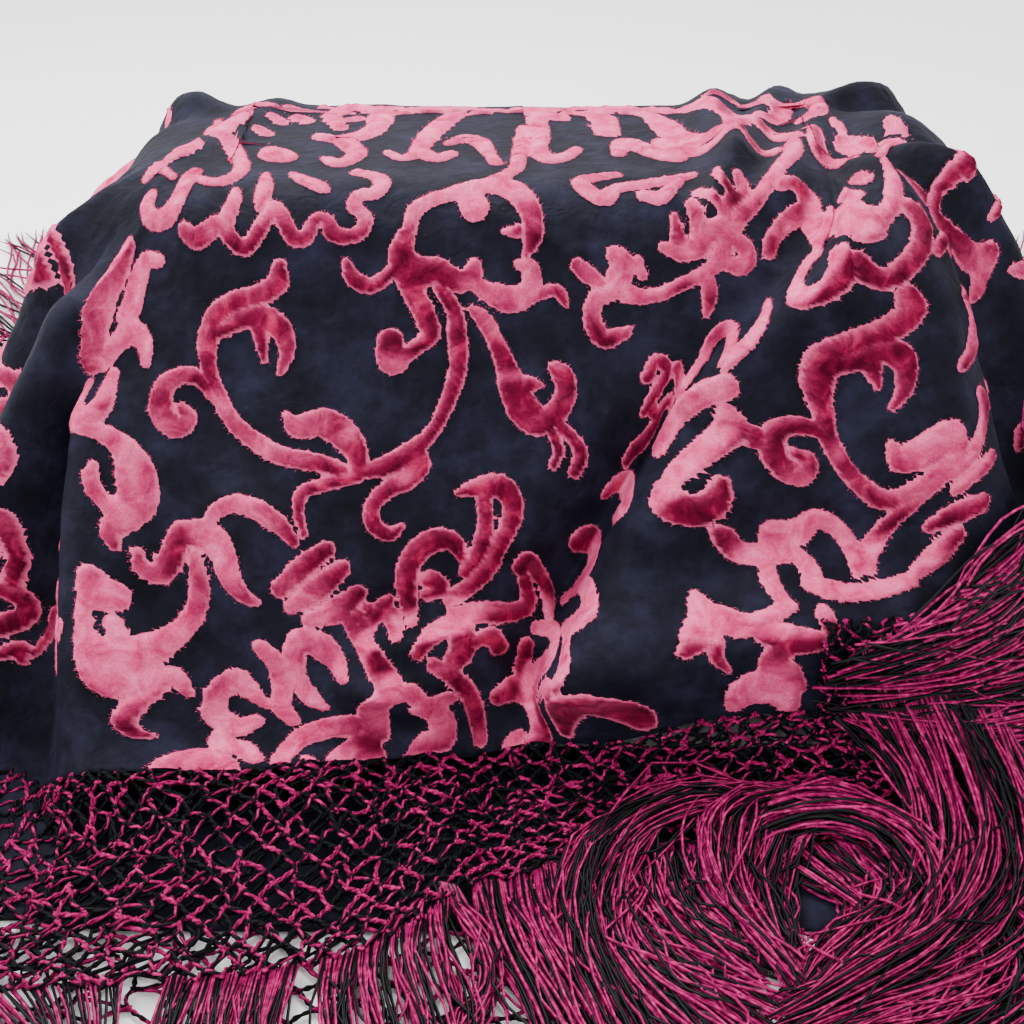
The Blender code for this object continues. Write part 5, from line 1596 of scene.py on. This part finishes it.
def add_light(name, place, aim, size, power, colour):
    """A square soft light that looks at a place."""
    data = bpy.data.lights.new(name, "AREA")
    data.shape = "SQUARE"
    data.size = size
    data.energy = power
    data.color = colour
    light = bpy.data.objects.new(name, data)
    bpy.context.scene.collection.objects.link(light)
    light.location = place
    towards = np.array(aim) - np.array(place)
    flat = math.hypot(towards[0], towards[1])
    light.rotation_euler = (math.atan2(flat, -towards[2]), 0, math.atan2(-towards[0], towards[1]))


def make_studio():
    """An even white surrounding and three soft panels."""
    world = bpy.data.worlds.new("studio")
    world.use_nodes = True
    world.node_tree.nodes["Background"].inputs[0].default_value = (*WHITE, 1)
    world.node_tree.nodes["Background"].inputs[1].default_value = WORLD_STRENGTH
    bpy.context.scene.world = world
    for row in LIGHTS:
        add_light(*row)


def make_camera():
    """The camera, at the photo's angle."""
    data = bpy.data.cameras.new("photo_camera")
    data.lens = CAMERA_LENS
    data.sensor_width = SENSOR_WIDTH
    data.clip_start = 0.01
    camera = bpy.data.objects.new("photo_camera", data)
    bpy.context.scene.collection.objects.link(camera)
    camera.location = (CAMERA_AIM[0], CAMERA_AIM[1] - CAMERA_FAR * math.cos(CAMERA_TILT),
                       CAMERA_AIM[2] + CAMERA_FAR * math.sin(CAMERA_TILT))
    camera.rotation_euler = (math.pi / 2 - CAMERA_TILT, 0, 0)
    bpy.context.scene.camera = camera


def velvet_rows(around, rows):
    """Depths from the middle of the flat top to just above the hem."""
    return TOP_MIDDLE + np.linspace(0, 1, rows)[None, :] * (hem_past(around) - HEM_BARE - TOP_MIDDLE)


def make_all_velvet(velvet):
    """The velvet of the front, finely made, and of both sides round to the back."""
    front = np.arange(-VELVET_FRONT, VELVET_FRONT + 0.0001, VELVET_STEP)[:, None]
    rows = velvet_rows(front, VELVET_FRONT_ROWS)
    pieces = list(make_velvet("velvet_front", front, rows, 3, velvet, FRONT_TUFTS))
    for side, name in ((-1, "velvet_left"), (1, "velvet_right")):
        rest = side * np.linspace(VELVET_FRONT + 0.0002, HALF_ROUND, VELVET_REST_COLUMNS)[:, None]
        rows = velvet_rows(rest, VELVET_REST_ROWS)
        pieces += make_velvet(name, rest, rows, 5 + side, velvet, REST_TUFTS)
    return pieces


def make_upper_nets(yarn):
    """The net along the upper hem, and its corner that is folded over the cloth."""
    pieces = []
    for node, first, last in NETS:
        shape = (first, last, start_of_net, looks_net_end, drape)
        pieces.append(make_net(node.replace("net", "netting"), node, shape, yarn))
    shape = (FLAP_FROM, FLAP_TO, straight_edge(FLAP_TOP), straight_edge(FLAP_FOOT), over_the_cloth)
    pieces.append(make_net("netting_flap", "net_flap", shape, yarn))
    return pieces


def make_under_net(yarn):
    """The lower half's net on the table, a single layer."""
    start, end = straight_edge(UNDER_SEAM + SEAM_GAP), straight_edge(UNDER_END)
    shape = (UNDER_NET_LEFT, UNDER_TO, start, end, on_the_table)
    return make_net("netting_under", "under_net", shape, yarn, doubled=False)


def make_fringes(floss):
    """All strands: at both ends, in front, and from the folded corner of net."""
    heights = height_map()
    return [
        make_end_fringe("fringe_left", 41, heights, floss),
        make_end_fringe("fringe_right", 42, heights, floss),
        make_front_fringe(heights, floss),
        make_flap_fringe(floss),
    ]


def main():
    """Dresses the solids: cloth, velvet, nets and fringes, on the plain block."""
    bpy.ops.object.select_all(action="DESELECT")
    crepe = crepe_material()
    velvet = velvet_material()
    net_yarn = yarn_material("net_yarn", *NET_YARN)
    floss = yarn_material("fringe_floss_yarn", *FLOSS_YARN)
    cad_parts["block"].data.materials.clear()
    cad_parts["block"].data.materials.append(board_material())
    shell = make_crepe(crepe)
    on_shell = make_all_velvet(velvet) + make_upper_nets(net_yarn) + make_fringes(floss)
    under = make_under(crepe)
    under_netting = make_under_net(net_yarn)
    make_floor()
    make_studio()
    make_camera()


main()
bpy.context.view_layer.update()
